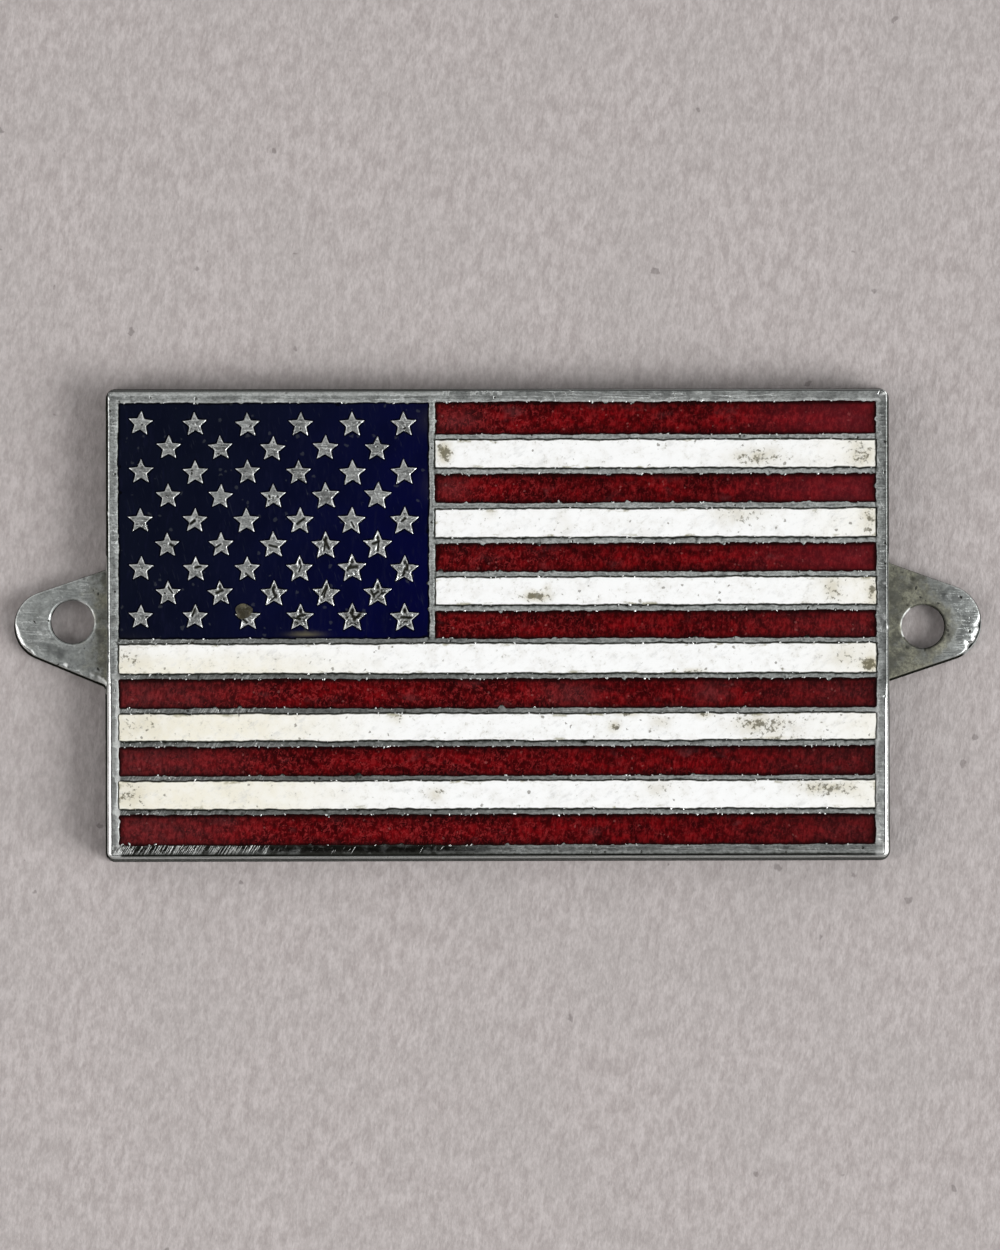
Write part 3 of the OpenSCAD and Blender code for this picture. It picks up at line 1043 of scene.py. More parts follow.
def white_enamel():
    """Opaque white, creamy to the left and below, with pinholes, specks and lodged dirt."""
    material, b, shader, place, wave = enamel("white enamel", 0.2)
    split = b.add("SeparateXYZ", Vector=place)
    east, north = split.outputs[0], split.outputs[1]
    stain = b.attribute("stain")
    cream = b.times(b.span(east, -20.0, -5.0, 1.0, 0.0), b.span(north, -3.5, -1.0, 1.0, 0.0))
    cream = b.larger(cream, b.span(east, 20.0, 30.0, 0.0, 0.7))
    clouds = b.noise(place, 0.9, 5.0, 0.65)
    fine = b.noise(place, 3.2, 4.0, 0.7, offset=2.0)
    tone = b.mix(b.span(clouds, 0.44, 0.74), (0.95, 0.96, 0.955), (0.86, 0.86, 0.84))
    tone = b.mix(b.times(cream, b.span(clouds, 0.2, 0.7, 0.5, 1.0)), tone, (0.86, 0.83, 0.71))
    mottle = b.times(b.span(fine, 0.5, 0.72), b.span(clouds, 0.42, 0.62, 0.1, 1.0))
    tone = b.mix(b.times(mottle, 0.5), tone, (0.50, 0.49, 0.43))
    spots = b.plus(b.minus(fine, 0.62), b.times(stain, 0.22))
    tone = b.mix(b.times(stain, b.span(clouds, 0.3, 0.6, 0.35, 0.75)), tone, (0.56, 0.51, 0.36))
    tone = b.mix(b.span(spots, 0.02, 0.14, 0.0, 0.85), tone, (0.12, 0.11, 0.07))
    wisps = b.noise(b.stretched(place, 1.0, (0.5, 1.1, 1.0)), 1.0, 5.0, 0.7, offset=17.0)
    tone = b.mix(b.span(wisps, 0.53, 0.72, 0.0, 0.4), tone, (0.56, 0.57, 0.56))
    pinholes = shared(b, PITS, Place=place, Size=0.34, Share=0.03)
    tone = b.mix(b.times(pinholes, 0.7), tone, (0.16, 0.15, 0.12))
    depth = b.attribute("depth")
    lodged = b.noise(b.stretched(place, 0.0, (1.5, 0.7, 1.0)), 1.0, 4.0, 0.6, offset=13.0)
    lodged = b.times(b.span(lodged, 0.57, 0.68), b.span(depth, 0.05, 0.32, 0.85, 0.0))
    tone = b.mix(lodged, tone, (0.30, 0.28, 0.17))
    rim = b.span(depth, 0.02, 0.075, 0.96, 0.0)
    tone = b.mix(rim, tone, (0.040, 0.041, 0.030))
    b.plug(shader.inputs["Base Color"], tone)
    height = b.minus(wave, b.times(pinholes, 0.8))
    b.plug(shader.inputs["Normal"], b.bump(height, 0.02))
    return material


def blue_enamel():
    """Deep blue, nearly black at the left and clearer towards the lower right."""
    material, b, shader, place, wave = enamel("blue enamel", 0.10)
    split = b.add("SeparateXYZ", Vector=place)
    east, north = split.outputs[0], split.outputs[1]
    slope = b.minus(east, b.times(north, 0.45))
    clear = b.span(slope, -30.0, -4.0)
    clouds = b.noise(place, 0.35, 4.0, 0.55)
    streaks = b.noise(b.stretched(place, 0.05, (0.22, 1.3, 1.0)), 1.0, 3.0, 0.6)
    deep = b.mix(clear, (0.0036, 0.0050, 0.0130), (0.0010, 0.0014, 0.030))
    deeper = b.mix(0.5, deep, (0.0010, 0.0016, 0.008))
    tone = b.mix(b.span(clouds, 0.38, 0.68, 0.0, 0.7), deep, deeper)
    tone = b.mix(b.span(streaks, 0.5, 0.75, 0.0, 0.35), tone, (0.0085, 0.0095, 0.030))
    haze = shared(b, SCRATCHES, Place=place, Turn=1.3, Width=0.10, Length=0.9, Share=0.4)
    tone = b.mix(b.times(haze, 0.10), tone, (0.08, 0.09, 0.12))
    specks = shared(b, PITS, Place=place, Size=0.4, Share=0.07)
    tone = b.mix(b.times(specks, 0.2), tone, (0.10, 0.11, 0.12))
    tone = b.mix(b.times(b.attribute("stain"), 0.8), tone, (0.10, 0.09, 0.06))
    # Painted shadow: near black round the stars and along the cell's borders
    tone = b.mix(b.span(b.attribute("depth"), 0.0, 0.2, 0.9, 0.0), tone, (0.0006, 0.0007, 0.0012))
    b.plug(shader.inputs["Base Color"], tone)
    shader.inputs["Specular IOR Level"].default_value = 0.2
    b.plug(shader.inputs["Normal"], b.bump(wave, 0.02))
    return material


CHROME = metal("worn chrome", (0.70, 0.74, 0.72), 0.36, 0.06, 0.010)
STAR_METAL = metal("struck stars", (0.70, 0.725, 0.71), 0.30, 0.22, 0.035)
# Near white and barely metallic: the chips carry painted glints
GLINT_CHIP_METAL = metal("bright chips", (0.92, 0.94, 0.92), 0.22, 0.0, 0.010, 0.4)
ENAMELS = {
    "red_enamel": red_enamel(),
    "white_enamel": white_enamel(),
    "blue_enamel": blue_enamel(),
}


# ---------------------------------------------------------------- plate, put together


def evaluated(piece):
    """The piece's mesh with its modifiers carried out."""
    graph = bpy.context.evaluated_depsgraph_get()
    return bpy.data.meshes.new_from_object(piece.evaluated_get(graph))


def scratch_object(name, data):
    """An object for a mesh as it is."""
    piece = bpy.data.objects.new(name, data)
    bpy.context.scene.collection.objects.link(piece)
    return piece


def discard(*pieces):
    """Takes helpers out of the scene again."""
    for piece in pieces:
        bpy.data.objects.remove(piece, do_unlink=True)


def merged(parts, weld=2e-7):
    """Several meshes as one, with the points that meet made one."""
    whole = bmesh.new()
    for part in parts:
        whole.from_mesh(part)
    bmesh.ops.remove_doubles(whole, verts=whole.verts, dist=weld)
    data = bpy.data.meshes.new("merged")
    whole.to_mesh(data)
    whole.free()
    return data


def struck_plate():
    """The plate's block and both ears made one, and given its face with the cells."""
    block, border = plate_block()
    body = scratch_object("block", block.mesh("block"))
    tools = []
    for i, ear in enumerate(EARS):
        tool = scratch_object(f"ear {i}", placed_ear(ear).mesh(f"ear {i}"))
        union = body.modifiers.new("ear", "BOOLEAN")
        union.operation, union.solver, union.object = "UNION", "EXACT", tool
        tools.append(tool)
    joined = evaluated(body)
    discard(body, *tools)
    shell = bmesh.new()
    shell.from_mesh(joined)
    tops = [f for f in shell.faces if f.calc_center_median().z > (PLATE_T - 0.02) * MM]
    bmesh.ops.delete(shell, geom=tops, context="FACES_ONLY")
    shell.to_mesh(joined)
    shell.free()
    return merged([joined, plate_face(border).mesh("face")])


def hole_gap(x, y):
    """Distance from the wall of the nearer screw hole."""
    ear = EARS[0] if x < 0 else EARS[1]
    hx, hy = on_badge(ear, HOLE_OUT, ear["hole"])
    return math.hypot(x - hx, y - hy) - HOLE_R


def ring_highlighted(x, y):
    """Whether a point on the ring round a screw hole lies where the ring carries painted highlight
    rather than painted shade.
    """
    ear, far, off = off_badge(x, y)
    turn = math.degrees(math.atan2(off - ear["hole"], (far - HOLE_OUT) * ear["side"]))
    return (-15 < turn < 85 or turn > 165) if x < 0 else turn > 125 or turn < -150


def ear_dirt_and_shade(x, y, z):
    """Painted shade in the screw holes, on the rings round them away from their painted highlight
    and on the sides of the ears, and dirt in the ears' hollows.
    """
    gap = hole_gap(x, y)
    # Painted shade, with dirt: the screw holes' walls near black
    if gap < 0.03:
        return 1.0 if z < EAR_T - 0.15 else 0.5
    # Painted shade on the ring, away from its painted highlight
    if gap < 0.12:
        return 0.0 if ring_highlighted(x, y) else 0.65
    # Painted shadow: the ears' sides near black, less so under the right ear's nose
    if z < EAR_SIDE_Z:
        return 1.0 if x < 0 else 1.0 - 0.7 * min(1.0, ear_shine(*off_badge(x, y)))
    return max(
        0.8 * math.exp(-(((x - hx) ** 2 + (y - hy) ** 2) / size**2) * 1.5)
        for hx, hy, size in HOLLOWS
    )


def cell_dirt(x, y):
    """Dirt on the worn lips of the cells, and on the walls below the white ones."""
    near = 0.0
    for cell in cells:
        out = -cell.depth_in(x, y)
        if out < 0.4:
            near = max(near, 0.93 * ramp(cell.lip + 0.006 - out + cell.wander(x, y), 0.0, 0.03))
            if cell.white and y < cell.y0:
                reach = 0.36 + 0.12 * ramp(-x, 8.0, 20.0)
                share = 0.62 + 0.6 * perlin(x, y, 0.4, 41)
                near = max(near, ramp(reach - out, 0.0, 0.2) * share)
    return near


def dirt_and_shade_at(x, y, z):
    """Dirt on the worn lips, the grooves and the ears' hollows, and painted shade on the sides of
    the plate and the ears, on the plate's outer and bottom edges and in the screw holes.
    """
    root = abs(x) - PLATE_W / 2
    if z < 0.01:
        return 0.2
    if root > 0.0 and z < EAR_T + 0.1 and abs(y) < 5.0:
        return ear_dirt_and_shade(x, y, z)
    gap = edge_gap(x, y)
    # Painted contact shadow, with dirt: the plate's sides near black
    if z < EDGE_FOOT_Z and gap < 0.3:
        return 1.0 if x < 0 and abs(y) < PLATE_H / 2 else 0.9
    # Painted shade: a dark line along the outermost part of the edge's rounding
    if -root < PLATE_H / 2 - abs(y):
        gap -= edge_shift(x, y)
    if gap < (-0.01 if y < -PLATE_H / 2 + 0.2 else 0.03):
        return 1.0
    # Painted dark reflection: a black line on the rounding of the bottom edge
    if y < -PLATE_H / 2 + 0.42 and root < -0.4:
        return ramp(gap, 0.05, 0.09) * ramp(0.42 - gap, 0.0, 0.1)
    near = 0.9 * groove_near(x, y)
    # Painted shade over the lamp's highlight on the unhandled right end edge
    if x > 0 and -root < 0.22:
        near = 0.32 * (1 - ramp(rubbed(x, y), 0.0, 0.6))
    return max(near, cell_dirt(x, y))


def patina_at(x, y, z):
    """Brown tarnish on the ears, heaviest by their roots and round the right hole."""
    root = abs(x) - PLATE_W / 2
    if root < -0.01 or z < 0.3 or abs(y) > 5.0:
        return 0.03
    if x < 0:
        return 0.14 + 0.30 * math.exp(-((root / 2.6) ** 2)) + 0.55 * math.exp(-((root / 1.1) ** 2))
    ring = 1.15 * math.exp(-((max(0.0, hole_gap(x, y)) / 0.8) ** 2)) * ramp(root, 1.5, 3.0)
    return max(0.1 + 0.95 * math.exp(-((root / 3.6) ** 4)), ring + 0.1)


def filed_at(x, y, z):
    """File marks: dense along the bottom rim to the left, thinner on the walls above it."""
    if z < PLATE_T - 0.15 or abs(x) > PLATE_W / 2 - 0.35:
        return 0.0
    if y < -PLATE_H / 2 + 1.0:
        return ramp(-x, -1.5, 3.5) * ramp(y + PLATE_H / 2, 0.1, 0.2)
    if y > -0.8 or x < -PLATE_W / 2 + 0.9:
        return 0.0
    return 0.5 * ramp(10.0 - x, 0.0, 16.0) * (1.0 if y < -13 else 0.85)


def polish_at(x, y, z):
    """The edges that handling has kept smooth."""
    side, end = PLATE_W / 2 - abs(x), PLATE_H / 2 - abs(y)
    if side < -0.2:
        ear, far, off = off_badge(x, y)
        if z < EAR_SIDE_Z:
            return 0.0
        flat = EAR_T - 0.18 * ramp(far, 3.4, ear["reach"]) ** 2 - 0.004 * off * off
        return min(1.0, ear_shine(ear, far, off)) * ramp(flat - z, 0.015, 0.045)
    if z < EDGE_FOOT_Z:
        return 0.0
    if end < side:
        return 0.0 if y > 0 else 0.8 * ramp(-end, -0.11, -0.06)
    inner = 0.17 if x < 0 else 0.21
    return rubbed(x, y) * ramp(edge_shift(x, y) - side, -inner, 0.1 - inner)


def end_edge(x, y):
    """Whether a point lies on the rounding of the plate's bottom edge."""
    return y < -PLATE_H / 2 + 0.3 and abs(x) < PLATE_W / 2 - 0.3


def worn_and_highlight_at(x, y, z):
    """Where the metal is brightest: the polished edges, with wear and painted highlight, and
    painted highlights on the lower part of the side rims, along the top rim, at the top right
    corner and on the rings round the screw holes.
    """
    side = PLATE_W / 2 - abs(x)
    flat = 0.0
    if side > 0 and z > PLATE_T - 0.1:
        # Painted highlights: the side rims' lower flats, a band along the top rim and the top right
        # corner
        flat = 0.6 * rubbed(x, y) if side < 1.0 else 0.0
        flat = max(flat, (0.16 + 0.2 * ramp(x, -6.0, 4.0)) * ramp(y, 16.1, 16.2))
        flat = max(flat, math.exp(-(((x - 28.3) / 0.2) ** 2) - ((y - 16.75) / 0.15) ** 2))
    if side < 0 and -0.01 < hole_gap(x, y) < 0.13 and z > EAR_T - 0.22:
        # Painted highlight on part of the ring round each screw hole
        flat = 0.9 * ring_highlighted(x, y) * ramp(perlin(x, y, 0.45, 17), -0.5, 0.1)
    # Polished edges: wear and painted highlight
    return max(flat, polish_at(x, y, z) * (0.5 if end_edge(x, y) else 1.0))


def painted_glint_at(x, y, z):
    """Painted glints: near-white spots on the upper edges."""
    if z < 0.72 or (z < 2.1 and abs(x) < PLATE_W / 2):
        return 0.0
    return max(
        ramp(1.5 * size - math.hypot(x - nx, y - ny), 0.0, 0.6 * size) for nx, ny, size in GLINT_SPOTS
    )


def dim_at(x, y, z):
    """Where the metal is darker: the ears, the lower walls, most the bottom rim, and the unhandled
    right end edge, where it is painted shade over the lamp's highlight.
    """
    side, end = PLATE_W / 2 - abs(x), PLATE_H / 2 - abs(y)
    if side < 0:
        return 0.2 if x < 0 else 1.0 - 0.6 * ramp(-side, 3.6, 4.6)
    if z < EDGE_FOOT_Z:
        return 0.0
    if side < min(end, 0.36):
        # Painted shade over the lamp's highlight on the unhandled right end edge
        unhandled = 1 - ramp(rubbed(x, y), 0.0, 0.6)
        return 0.9 * unhandled * ramp(-side, -0.36, -0.24) if x > 0 else 0.0
    if y < -PLATE_H / 2 + 0.95:
        return 0.85
    if side < 0.9 or z < PLATE_T - 0.15:
        return 0.0
    return ramp(1.5 - y, 0.0, 6.0) * (0.45 + 0.3 * ramp(10.0 - x, 0.0, 30.0))


plate_mesh = struck_plate()
for key, value in (
    ("lip", dirt_and_shade_at), ("patina", patina_at), ("filed", filed_at), ("polish", polish_at),
    ("worn", worn_and_highlight_at), ("dim", dim_at), ("glint", painted_glint_at),
):
    marked(plate_mesh, key, value)
plate = finished("struck_plate", plate_mesh, CHROME, 38)


# ---------------------------------------------------------------- stars


def star_blank():
    """One star of 1 mm radius that stands on the cell's floor, marked where its face may sink."""
    skin = Skin()
    base = rounded_off(star_corners(1.0, STAR_WAIST), STAR_BLUNT)

    def spread(extra):
        return [(x * (1 + extra), y * (1 + extra)) for x, y in divided(base, 4)]

    levels = [
        (STAR_FLARE, FLOOR_Z - 0.02),
        (STAR_FLARE * 0.3, PLATE_T - 0.22),
        (0.0, PLATE_T - 0.085),
        (-0.05, PLATE_T - 0.045),
        (-0.11, PLATE_T - 0.018),
        (-0.17, GROUND_Z),
    ]
    rings = [skin.ring(spread(extra), z) for extra, z in levels]
    for low, high in zip(rings, rings[1:]):
        skin.wall(low, high)
    skin.faces.append(tuple(rings[0][::-1]))
    field = [(x * 0.79, y * 0.79) for x, y in base]
    loose = scattered(-1, -1, 1, 1, 0.05, lambda x, y: inside(x, y, field), 3)
    skin.fill(rings[-1], (), loose, lambda x, y: GROUND_Z)
    data = skin.mesh("star blank")
    face_foot = PLATE_T - 0.03

    def dish(x, y, z):
        return ramp(star_reach(x, y) - math.hypot(x, y), 0.12, 0.22) if z > face_foot else 0.0

    def pit(x, y, z):
        if z < face_foot:
            return 0.0
        return math.exp(-(((x - 0.02) / 0.10) ** 2) - ((y - 0.52) / 0.20) ** 2)

    # Painted highlight on the bevel and towards the tips, with wear
    def worn(x, y, z):
        if PLATE_T - 0.09 < z < PLATE_T - 0.014:
            return 0.9
        return ramp(math.hypot(x, y), 0.55, 0.8) if z > face_foot else 0.0

    for key, value in (("dish", dish), ("pit", pit), ("worn", worn)):
        marked(data, key, value)
    return data


def star_gashes():
    """Dark folds across the worn stars: where each starts and ends, and its half width."""
    draw = random.Random(31)
    found = []
    for star in stars:
        for _ in range(round(star["rough"] * draw.uniform(1.4, 2.8))):
            turn, reach = draw.uniform(0, math.pi), star["size"] * draw.uniform(0.16, 0.34)
            x, y = star["x"] + draw.gauss(0, 0.16), star["y"] + draw.gauss(0, 0.16)
            dx, dy = reach * math.cos(turn), reach * math.sin(turn)
            found.append((x - dx, y - dy, x + dx, y + dy, draw.uniform(0.06, 0.11)))
        if star["rough"] > 0.45:
            x = star["x"] - 0.52 * star["size"] * math.sin(star["turn"])
            y = star["y"] + 0.5 * star["size"]
            found.append((x, y - 0.08, x + 0.01, y + 0.1, 0.085))
    return found


def gash_away(x, y, gashes):
    """Distance from the nearest gash, counted in its half widths."""
    return min([NOWHERE_NEAR, *(line_away(x, y, *ends) / half for *ends, half in gashes)])


class Geometry(Wiring):
    """A geometry node tree, with its inputs' identifiers by their names."""

    def __init__(self, name):
        super().__init__(bpy.data.node_groups.new(name, "GeometryNodeTree"))
        self.inputs = {}
        for way in ("INPUT", "OUTPUT"):
            self.tree.interface.new_socket(
                "Geometry", in_out=way, socket_type="NodeSocketGeometry"
            )

    def take(self, label, kind, default=None):
        """Gives the tree a named input."""
        socket = self.tree.interface.new_socket(
            label, in_out="INPUT", socket_type="NodeSocket" + kind
        )
        if default is not None:
            socket.default_value = default
        self.inputs[label] = socket.identifier

    def start(self):
        """What the tree is given."""
        return self.add("NodeGroupInput").outputs

    def vector(self, **parts):
        """A vector put together from its parts."""
        return self.add("ShaderNodeCombineXYZ", **parts).outputs[0]

    def named(self, name):
        """What the mesh says at each point."""
        node = self.add("GeometryNodeInputNamedAttribute", {"data_type": "FLOAT"}, Name=name)
        return node.outputs["Attribute"]

    def random(self, low, high, seed):
        """A random vector for each point."""
        node = self.add("FunctionNodeRandomValue", {"data_type": "FLOAT_VECTOR"})
        node.inputs[0].default_value, node.inputs[1].default_value = low, high
        self.plug(node.inputs["Seed"], seed)
        return node.outputs[0]

    def finish(self, geometry, material):
        """Gives the result its material and ends the tree."""
        last = self.add("GeometryNodeSetMaterial", Geometry=geometry, Material=material)
        self.add("NodeGroupOutput", Geometry=last.outputs[0])


def star_tree():
    """Sets the star blank on every place of the field, then dishes, pits and roughens it."""
    g = Geometry("struck stars")
    g.take("Star", "Object")
    g.take("Dish Depth", "Float", 0.00009)
    g.take("Pit Depth", "Float", 0.00016)
    g.take("Ragged", "Float", 0.00006)
    g.take("Lump Size", "Float", 0.00034)
    g.take("Seed", "Float", 5.0)
    g.take("Material", "Material")
    given = g.start()
    star = g.add("GeometryNodeObjectInfo", Object=given["Star"]).outputs["Geometry"]
    size = g.named("size")
    points = g.add("GeometryNodeInstanceOnPoints", Points=given["Geometry"], Instance=star)
    g.plug(points.inputs["Rotation"], g.vector(Z=g.named("turn")))
    g.plug(points.inputs["Scale"], g.vector(X=size, Y=size, Z=1.0))
    real = g.add("GeometryNodeRealizeInstances", Geometry=points.outputs[0]).outputs[0]

    place = g.add("GeometryNodeInputPosition").outputs[0]
    lump_size = given["Lump Size"]
    grain = g.shifted("DIVIDE", place, g.vector(X=lump_size, Y=lump_size, Z=0.002))
    lumps = g.add(
        "ShaderNodeTexNoise", {"noise_dimensions": "4D"},
        Vector=grain, W=given["Seed"], Scale=1.0, Detail=3.0,
    )
    lump = g.minus(lumps.outputs["Fac"], 0.5)
    dish, rough, pit = g.named("dish"), g.named("rough"), g.named("pit")
    worn = g.times(rough, rough)
    sink = g.times(g.times(dish, worn), given["Dish Depth"])
    hollow = g.times(g.times(pit, worn), given["Pit Depth"])
    bite = g.times(g.times(lump, dish), given["Dish Depth"])
    bite = g.times(bite, g.plus(g.times(worn, 4.0), 0.9))
    drop = g.minus(g.minus(bite, sink), hollow)
    spread = g.shifted("SUBTRACT", lumps.outputs["Color"], (0.5, 0.5, 0.5))
    amount = given["Ragged"]
    spread = g.shifted("MULTIPLY", spread, g.vector(X=amount, Y=amount, Z=0.0))
    shift = g.shifted("ADD", g.vector(Z=drop), spread)
    moved = g.add("GeometryNodeSetPosition", Geometry=real, Offset=shift).outputs[0]
    g.finish(moved, given["Material"])
    return g


def chip_tree():
    """Sets a chip of metal on every marked place of a lip."""
    g = Geometry("lip chips")
    g.take("Chip", "Object")
    g.take("Smallest", "Float", 0.5)
    g.take("Largest", "Float", 1.9)
    g.take("Seed", "Int", 4)
    g.take("Material", "Material")
    given = g.start()
    chip = g.add("GeometryNodeObjectInfo", Object=given["Chip"]).outputs["Geometry"]
    turn = g.random((0.0, 0.0, 0.0), (0.35, 0.35, 6.28), given["Seed"])
    size = g.random((0.6, 0.5, 0.5), (1.3, 1.0, 1.2), g.plus(given["Seed"], 1.0))
    points = g.add("GeometryNodeInstanceOnPoints", Points=given["Geometry"], Instance=chip)
    g.plug(points.inputs["Rotation"], turn)
    grade = g.add("FunctionNodeRandomValue", {"data_type": "FLOAT"})
    g.plug(grade.inputs[2], given["Smallest"])
    g.plug(grade.inputs[3], given["Largest"])
    scale = g.shifted("SCALE", size, grade.outputs[1])
    g.plug(points.inputs["Scale"], scale)
    real = g.add("GeometryNodeRealizeInstances", Geometry=points.outputs[0]).outputs[0]
    g.finish(real, given["Material"])
    return g


def grown(tree, field, **choices):
    """Runs a geometry node tree over a field of points and gives the mesh it makes."""
    holder = scratch_object("field", field)
    nodes = holder.modifiers.new("grown", "NODES")
    nodes.node_group = tree.tree
    for label, value in choices.items():
        nodes[tree.inputs[label]] = value
    data = evaluated(holder)
    discard(holder)
    return data


def struck_stars():
    """All fifty stars as one mesh."""
    blank = scratch_object("star blank", star_blank())
    field = bpy.data.meshes.new("star field")
    field.from_pydata([(s["x"] * MM, s["y"] * MM, 0.0) for s in stars], [], [])
    for key in ("size", "turn", "rough"):
        write_marks(field, key, [s[key] for s in stars])
    data = grown(star_tree(), field, Star=blank, Material=STAR_METAL)
    discard(blank)
    return data


def gum_spot():
    """A dried spot of gum over the upper left of one star in the bottom row."""
    skin = Skin()
    cx, cy = -18.50, 0.98
    levels = ((0.62, ENAMEL_Z - 0.02), (0.60, PLATE_T + 0.01), (0.5, PLATE_T + 0.035))
    rings = []
    for reach, z in (*levels, (0.2, PLATE_T + 0.045)):
        outline = []
        for k in range(40):
            turn = 2 * math.pi * k / 40
            far = reach * (1 + 0.07 * math.sin(3 * turn + 1) + 0.04 * math.sin(5 * turn))
            outline.append((cx + far * math.cos(turn), cy + 0.9 * far * math.sin(turn)))
        rings.append(skin.ring(outline, z))
    for low, high in zip(rings, rings[1:]):
        skin.wall(low, high)
    skin.faces.append(tuple(rings[-1]))
    skin.faces.append(tuple(rings[0][::-1]))
    return skin.mesh("gum spot")


def weather(data):
    """Cuts the gashes into the stars, and marks where they are dark, where they carry painted
    highlights and where they are grey.
    """
    pits, roughs, worn = (read_marks(data, key) for key in ("pit", "rough", "worn"))
    gashes = star_gashes()
    dark, bright = [], []
    for i, vertex in enumerate(data.vertices):
        x, y, z = (c / MM for c in vertex.co)
        away = gash_away(x, y, gashes) if z > PLATE_T - 0.3 else NOWHERE_NEAR
        cut = math.exp(-(away**3) * 0.5) if z > PLATE_T - 0.12 else 0.0
        pit = min(1.0, 1.6 * pits[i] * roughs[i])
        dark.append(0.95 if z < PLATE_T - 0.12 else max(min(1.0, 1.15 * cut), pit))
        # Painted highlights on the bevel, the tips and round the gashes
        bright.append(max(worn[i] * (1 - cut), 0.4 * math.exp(-((away - 2.1) ** 2) * 5)))
        vertex.co.z -= 0.08 * cut * MM
    write_marks(data, "worn", bright)
    write_marks(data, "dim", [0.12 + 0.5 * rough for rough in roughs])
    write_marks(data, "lip", dark)


star_mesh = struck_stars()
weather(star_mesh)
gum = gum_spot()
marked(gum, "stain", lambda x, y, z: 1.0)
star_piece = finished("struck_stars", merged([star_mesh, gum]), STAR_METAL, 50)


def chipped_lips():
    """Small bright chips along the lips, most of them under a wall where red enamel starts; their
    near-white finish is a painted glint.
    """
    draw = random.Random(9)
    spots = []
    for cell in cells:
        width = cell.x1 - cell.x0
        red = cell.node.startswith("red")
        for _ in range(round(width * (1.5 if red else 0.5))):
            x = draw.uniform(cell.x0 + 0.3, cell.x1 - 0.3)
            spots.append((x, cell.y1 + cell.wander(x, cell.y1) + draw.uniform(-0.02, 0.07)))
        for _ in range(round(width * 0.35)):
            x = draw.uniform(cell.x0 + 0.3, cell.x1 - 0.3)
            spots.append((x, cell.y0 - cell.wander(x, cell.y0) - draw.uniform(-0.02, 0.07)))
    for x, y, spread, count in CHIPS:
        for _ in range(count):
            spots.append((x + draw.uniform(-spread, spread), y + draw.uniform(-0.1, 0.1)))
    skin = Skin()
    turns = [math.radians(a) for a in (0, 80, 150, 215, 300)]
    low = [(0.06 * math.cos(a), 0.05 * math.sin(a)) for a in turns]
    foot = skin.ring(low, -0.03)
    brow = skin.ring([(x * 0.8 + 0.004, y * 0.8) for x, y in low], 0.012)
    crown = skin.ring([(x * 0.25 - 0.008, y * 0.25 + 0.004) for x, y in low], 0.034)
    skin.wall(foot, brow)
    skin.wall(brow, crown)
    skin.faces.append(tuple(crown))
    skin.faces.append(tuple(foot[::-1]))
    blank = scratch_object("chip blank", skin.mesh("chip blank"))
    field = bpy.data.meshes.new("chip field")
    field.from_pydata([(x * MM, y * MM, (PLATE_T - 0.03) * MM) for x, y in spots], [], [])
    data = grown(chip_tree(), field, Chip=blank, Material=GLINT_CHIP_METAL)
    discard(blank)
    return data


chips = finished("lip_chips", chipped_lips(), GLINT_CHIP_METAL, 30)


# ---------------------------------------------------------------- enamel


def gap_in(cell):
    """What gives the distance from the nearest star in a cell."""
    return star_gap if cell is canton else lambda x, y: NOWHERE_NEAR


def enamel_skin(cell):
    """A fired body that fills its cell, with a slight gutter where it meets the metal."""
    skin, gap = Skin(), gap_in(cell)
    holes = stars if cell is canton else ()

    def height(x, y):
        away = min(max(0.0, cell.depth_in(x, y)), max(0.0, gap(x, y)))
        z = ENAMEL_Z + 0.012 * perlin(x, y, 2.2, cell.seed)
        z += 0.005 * perlin(x, y, 0.6, cell.seed + 1)
        return z + 0.02 - 0.012 * math.exp(-away / 0.12)

    top = skin.ring(cell.outline(0.015), height)
    foot = skin.ring(cell.outline(-CELL_DEPTH * math.tan(CELL_DRAFT), 0.3), FLOOR_Z + 0.004)
    skin.wall(foot, top)
    tops, feet = [], []
    for star in holes:
        high = skin.ring(placed_star(star, 0.0), height)
        low = skin.ring(placed_star(star, STAR_FLARE), FLOOR_Z + 0.004)
        skin.wall(low, high, inward=True)
        tops.append(high)
        feet.append(low)

    extra = []
    for inset in (0.04, 0.08, 0.13, 0.20, 0.30):
        ring = rounded_rect(
            cell.x0 + inset, cell.y0 + inset, cell.x1 - inset, cell.y1 - inset, 0.05, 0.17
        )
        extra += [(x, y) for x, y, _, _ in ring if gap(x, y) > 0.05]
    for star in holes:
        extra += [p for more in (0.07, 0.17) for p in placed_star(star, more, 2)]
    extra += scattered(
        cell.x0, cell.y0, cell.x1, cell.y1, 0.24,
        lambda x, y: cell.depth_in(x, y) > 0.38 and gap(x, y) > 0.24, 11,
    )
    skin.fill(top, tops, extra, height)
    skin.fill(foot, feet, upwards=False)
    return skin


def stain_at(x, y, z):
    """How stained the enamel is at this place."""
    depth = 0.0
    for sx, sy, wide, high, strength in STAINS:
        away = ((x - sx) / wide) ** 2 + ((y - sy) / high) ** 2
        if away < 6:
            depth = max(depth, strength * math.exp(-away))
    return depth


for cell in cells:
    slot = cell.node.split("_")[0] + "_enamel"
    gap = gap_in(cell)
    data = enamel_skin(cell).mesh(cell.node + "_body")
    marked(data, "depth", lambda x, y, z: min(cell.depth_from_lip(x, y), gap(x, y), 1.0))
    marked(data, "shade", lambda x, y, z: cell.shade(x, y))
    marked(data, "stain", stain_at)
    piece = finished(cell.node + "_body", data, ENAMELS[slot], 45)
    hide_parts(cell.node)
    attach(piece, "root")

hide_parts("base_plate")
for piece in (plate, star_piece, chips):
    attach(piece, "root")


# ---------------------------------------------------------------- table, light and camera


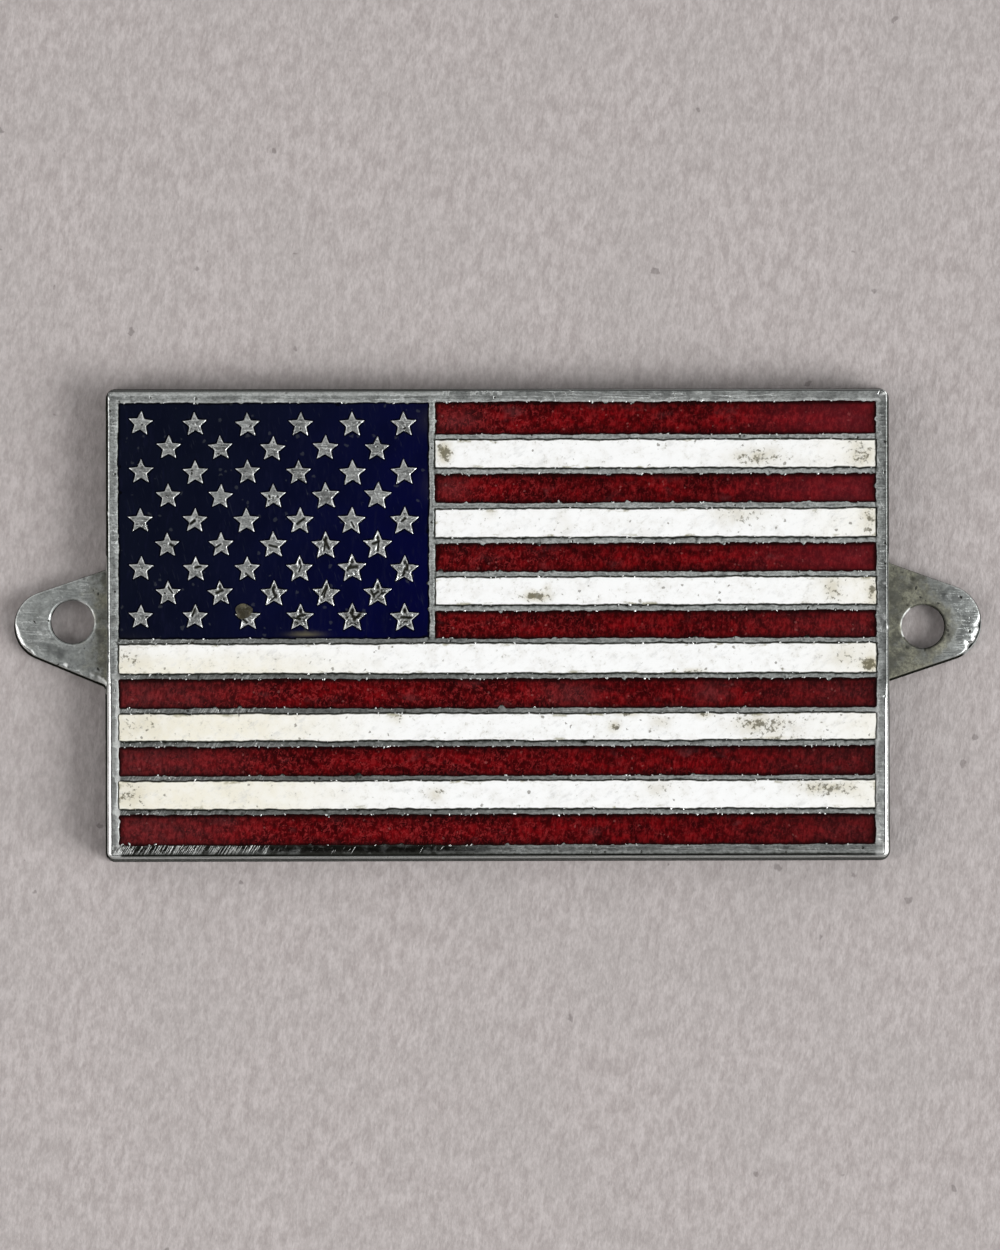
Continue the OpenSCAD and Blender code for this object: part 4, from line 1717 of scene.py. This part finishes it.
def table_material():
    """Fibrous grey-pink paper."""
    material, b, shader, place = new_material("grey paper")
    fibre = b.noise(b.stretched(place, 0.15, (0.7, 1.5, 1.0)), 1.0, 5.0, 0.6)
    broad = b.noise(place, 0.12, 3.0, 0.5, offset=2.0)
    grain = b.noise(b.stretched(place, 0.12, (0.20, 0.42, 1.0)), 1.0, 3.0, 0.55, offset=1.0)
    tone = b.mix(b.span(fibre, 0.34, 0.66), (0.410, 0.369, 0.361), (0.518, 0.476, 0.468))
    tone = b.mix(b.span(broad, 0.35, 0.7, 0.0, 0.4), tone, (0.43, 0.40, 0.39))
    tone = b.mix(b.span(grain, 0.32, 0.56, 0.22, 0.0), tone, (0.25, 0.225, 0.22))
    tone = b.mix(b.span(grain, 0.5, 0.72, 0.0, 0.22), tone, (0.66, 0.62, 0.615))
    specks = shared(b, PITS, Place=place, Size=0.8, Share=0.007)
    tone = b.mix(b.times(specks, 0.5), tone, (0.15, 0.13, 0.125))
    b.plug(shader.inputs["Base Color"], tone)
    shader.inputs["Roughness"].default_value = 0.9
    shader.inputs["Specular IOR Level"].default_value = 0.2
    b.plug(shader.inputs["Normal"], b.bump(b.plus(fibre, b.times(grain, 0.5)), 0.06))
    return material


table = bpy.data.meshes.new("table")
half = 600 * MM
corners = [(-half, -half, 0), (half, -half, 0), (half, half, 0), (-half, half, 0)]
table.from_pydata(corners, [], [(0, 1, 2, 3)])
table.materials.append(table_material())
table_piece = scratch_object("table", table)


def lamp(name, place, size, power, colour=(1.0, 1.0, 1.0)):
    """A soft lamp, so wide and so tall, that looks at the badge."""
    light = bpy.data.lights.new(name, "AREA")
    light.shape, light.size, light.size_y = "RECTANGLE", *size
    light.energy, light.color = power, colour
    piece = bpy.data.objects.new(name, light)
    piece.location = place
    piece.rotation_euler = (-Vector(place)).to_track_quat("-Z", "Y").to_euler()
    bpy.context.scene.collection.objects.link(piece)


lamp("key", (1.30, -0.45, 0.70), (0.85, 0.85), 28.1)
lamp("fill", (-0.46, -0.12, 0.24), (0.22, 0.48), 1.05, (1.0, 0.965, 0.955))


def studio():
    """The studio's walls: dim straight above and to the front, pale all round."""
    world = bpy.data.worlds.new("studio")
    world.use_nodes = True
    world.node_tree.nodes.clear()
    b = Board(world.node_tree)
    way = b.add("SeparateXYZ", Vector=b.add("TexCoord").outputs["Generated"])
    ceiling = b.span(way.outputs[2], 0.80, 0.96, 0.62, 0.04)
    front = b.span(way.outputs[1], -0.80, -0.30, 0.12, 1.0)
    pale = b.times(ceiling, front)
    backdrop = b.add("Background", Color=(1.0, 1.0, 1.0, 1.0), Strength=pale)
    b.add("OutputWorld", Surface=backdrop.outputs[0])
    return world


scene = bpy.context.scene
scene.world = studio()
scene.view_settings.view_transform = "Standard"

# The camera looks straight down on the badge, which lies a little turned; a pixel of the
# picture, which is 1250 pixels high, is this large on the badge
PIXEL, PICTURE_H = 72.84 * MM / 1000, 1250
camera_data = bpy.data.cameras.new("camera")
camera = bpy.data.objects.new("camera", camera_data)
bpy.context.scene.collection.objects.link(camera)
DISTANCE, SENSOR = 0.5, 36.0
camera_data.sensor_width = SENSOR
camera_data.lens = SENSOR * DISTANCE / (PICTURE_H * PIXEL)
camera.location = (2.25 * PIXEL, -1.05 * PIXEL, DISTANCE + PLATE_T * MM)
camera.rotation_euler = (0.0, 0.0, math.radians(-0.14))
camera_data.clip_start, camera_data.clip_end = 0.01, 10.0
scene.camera = camera
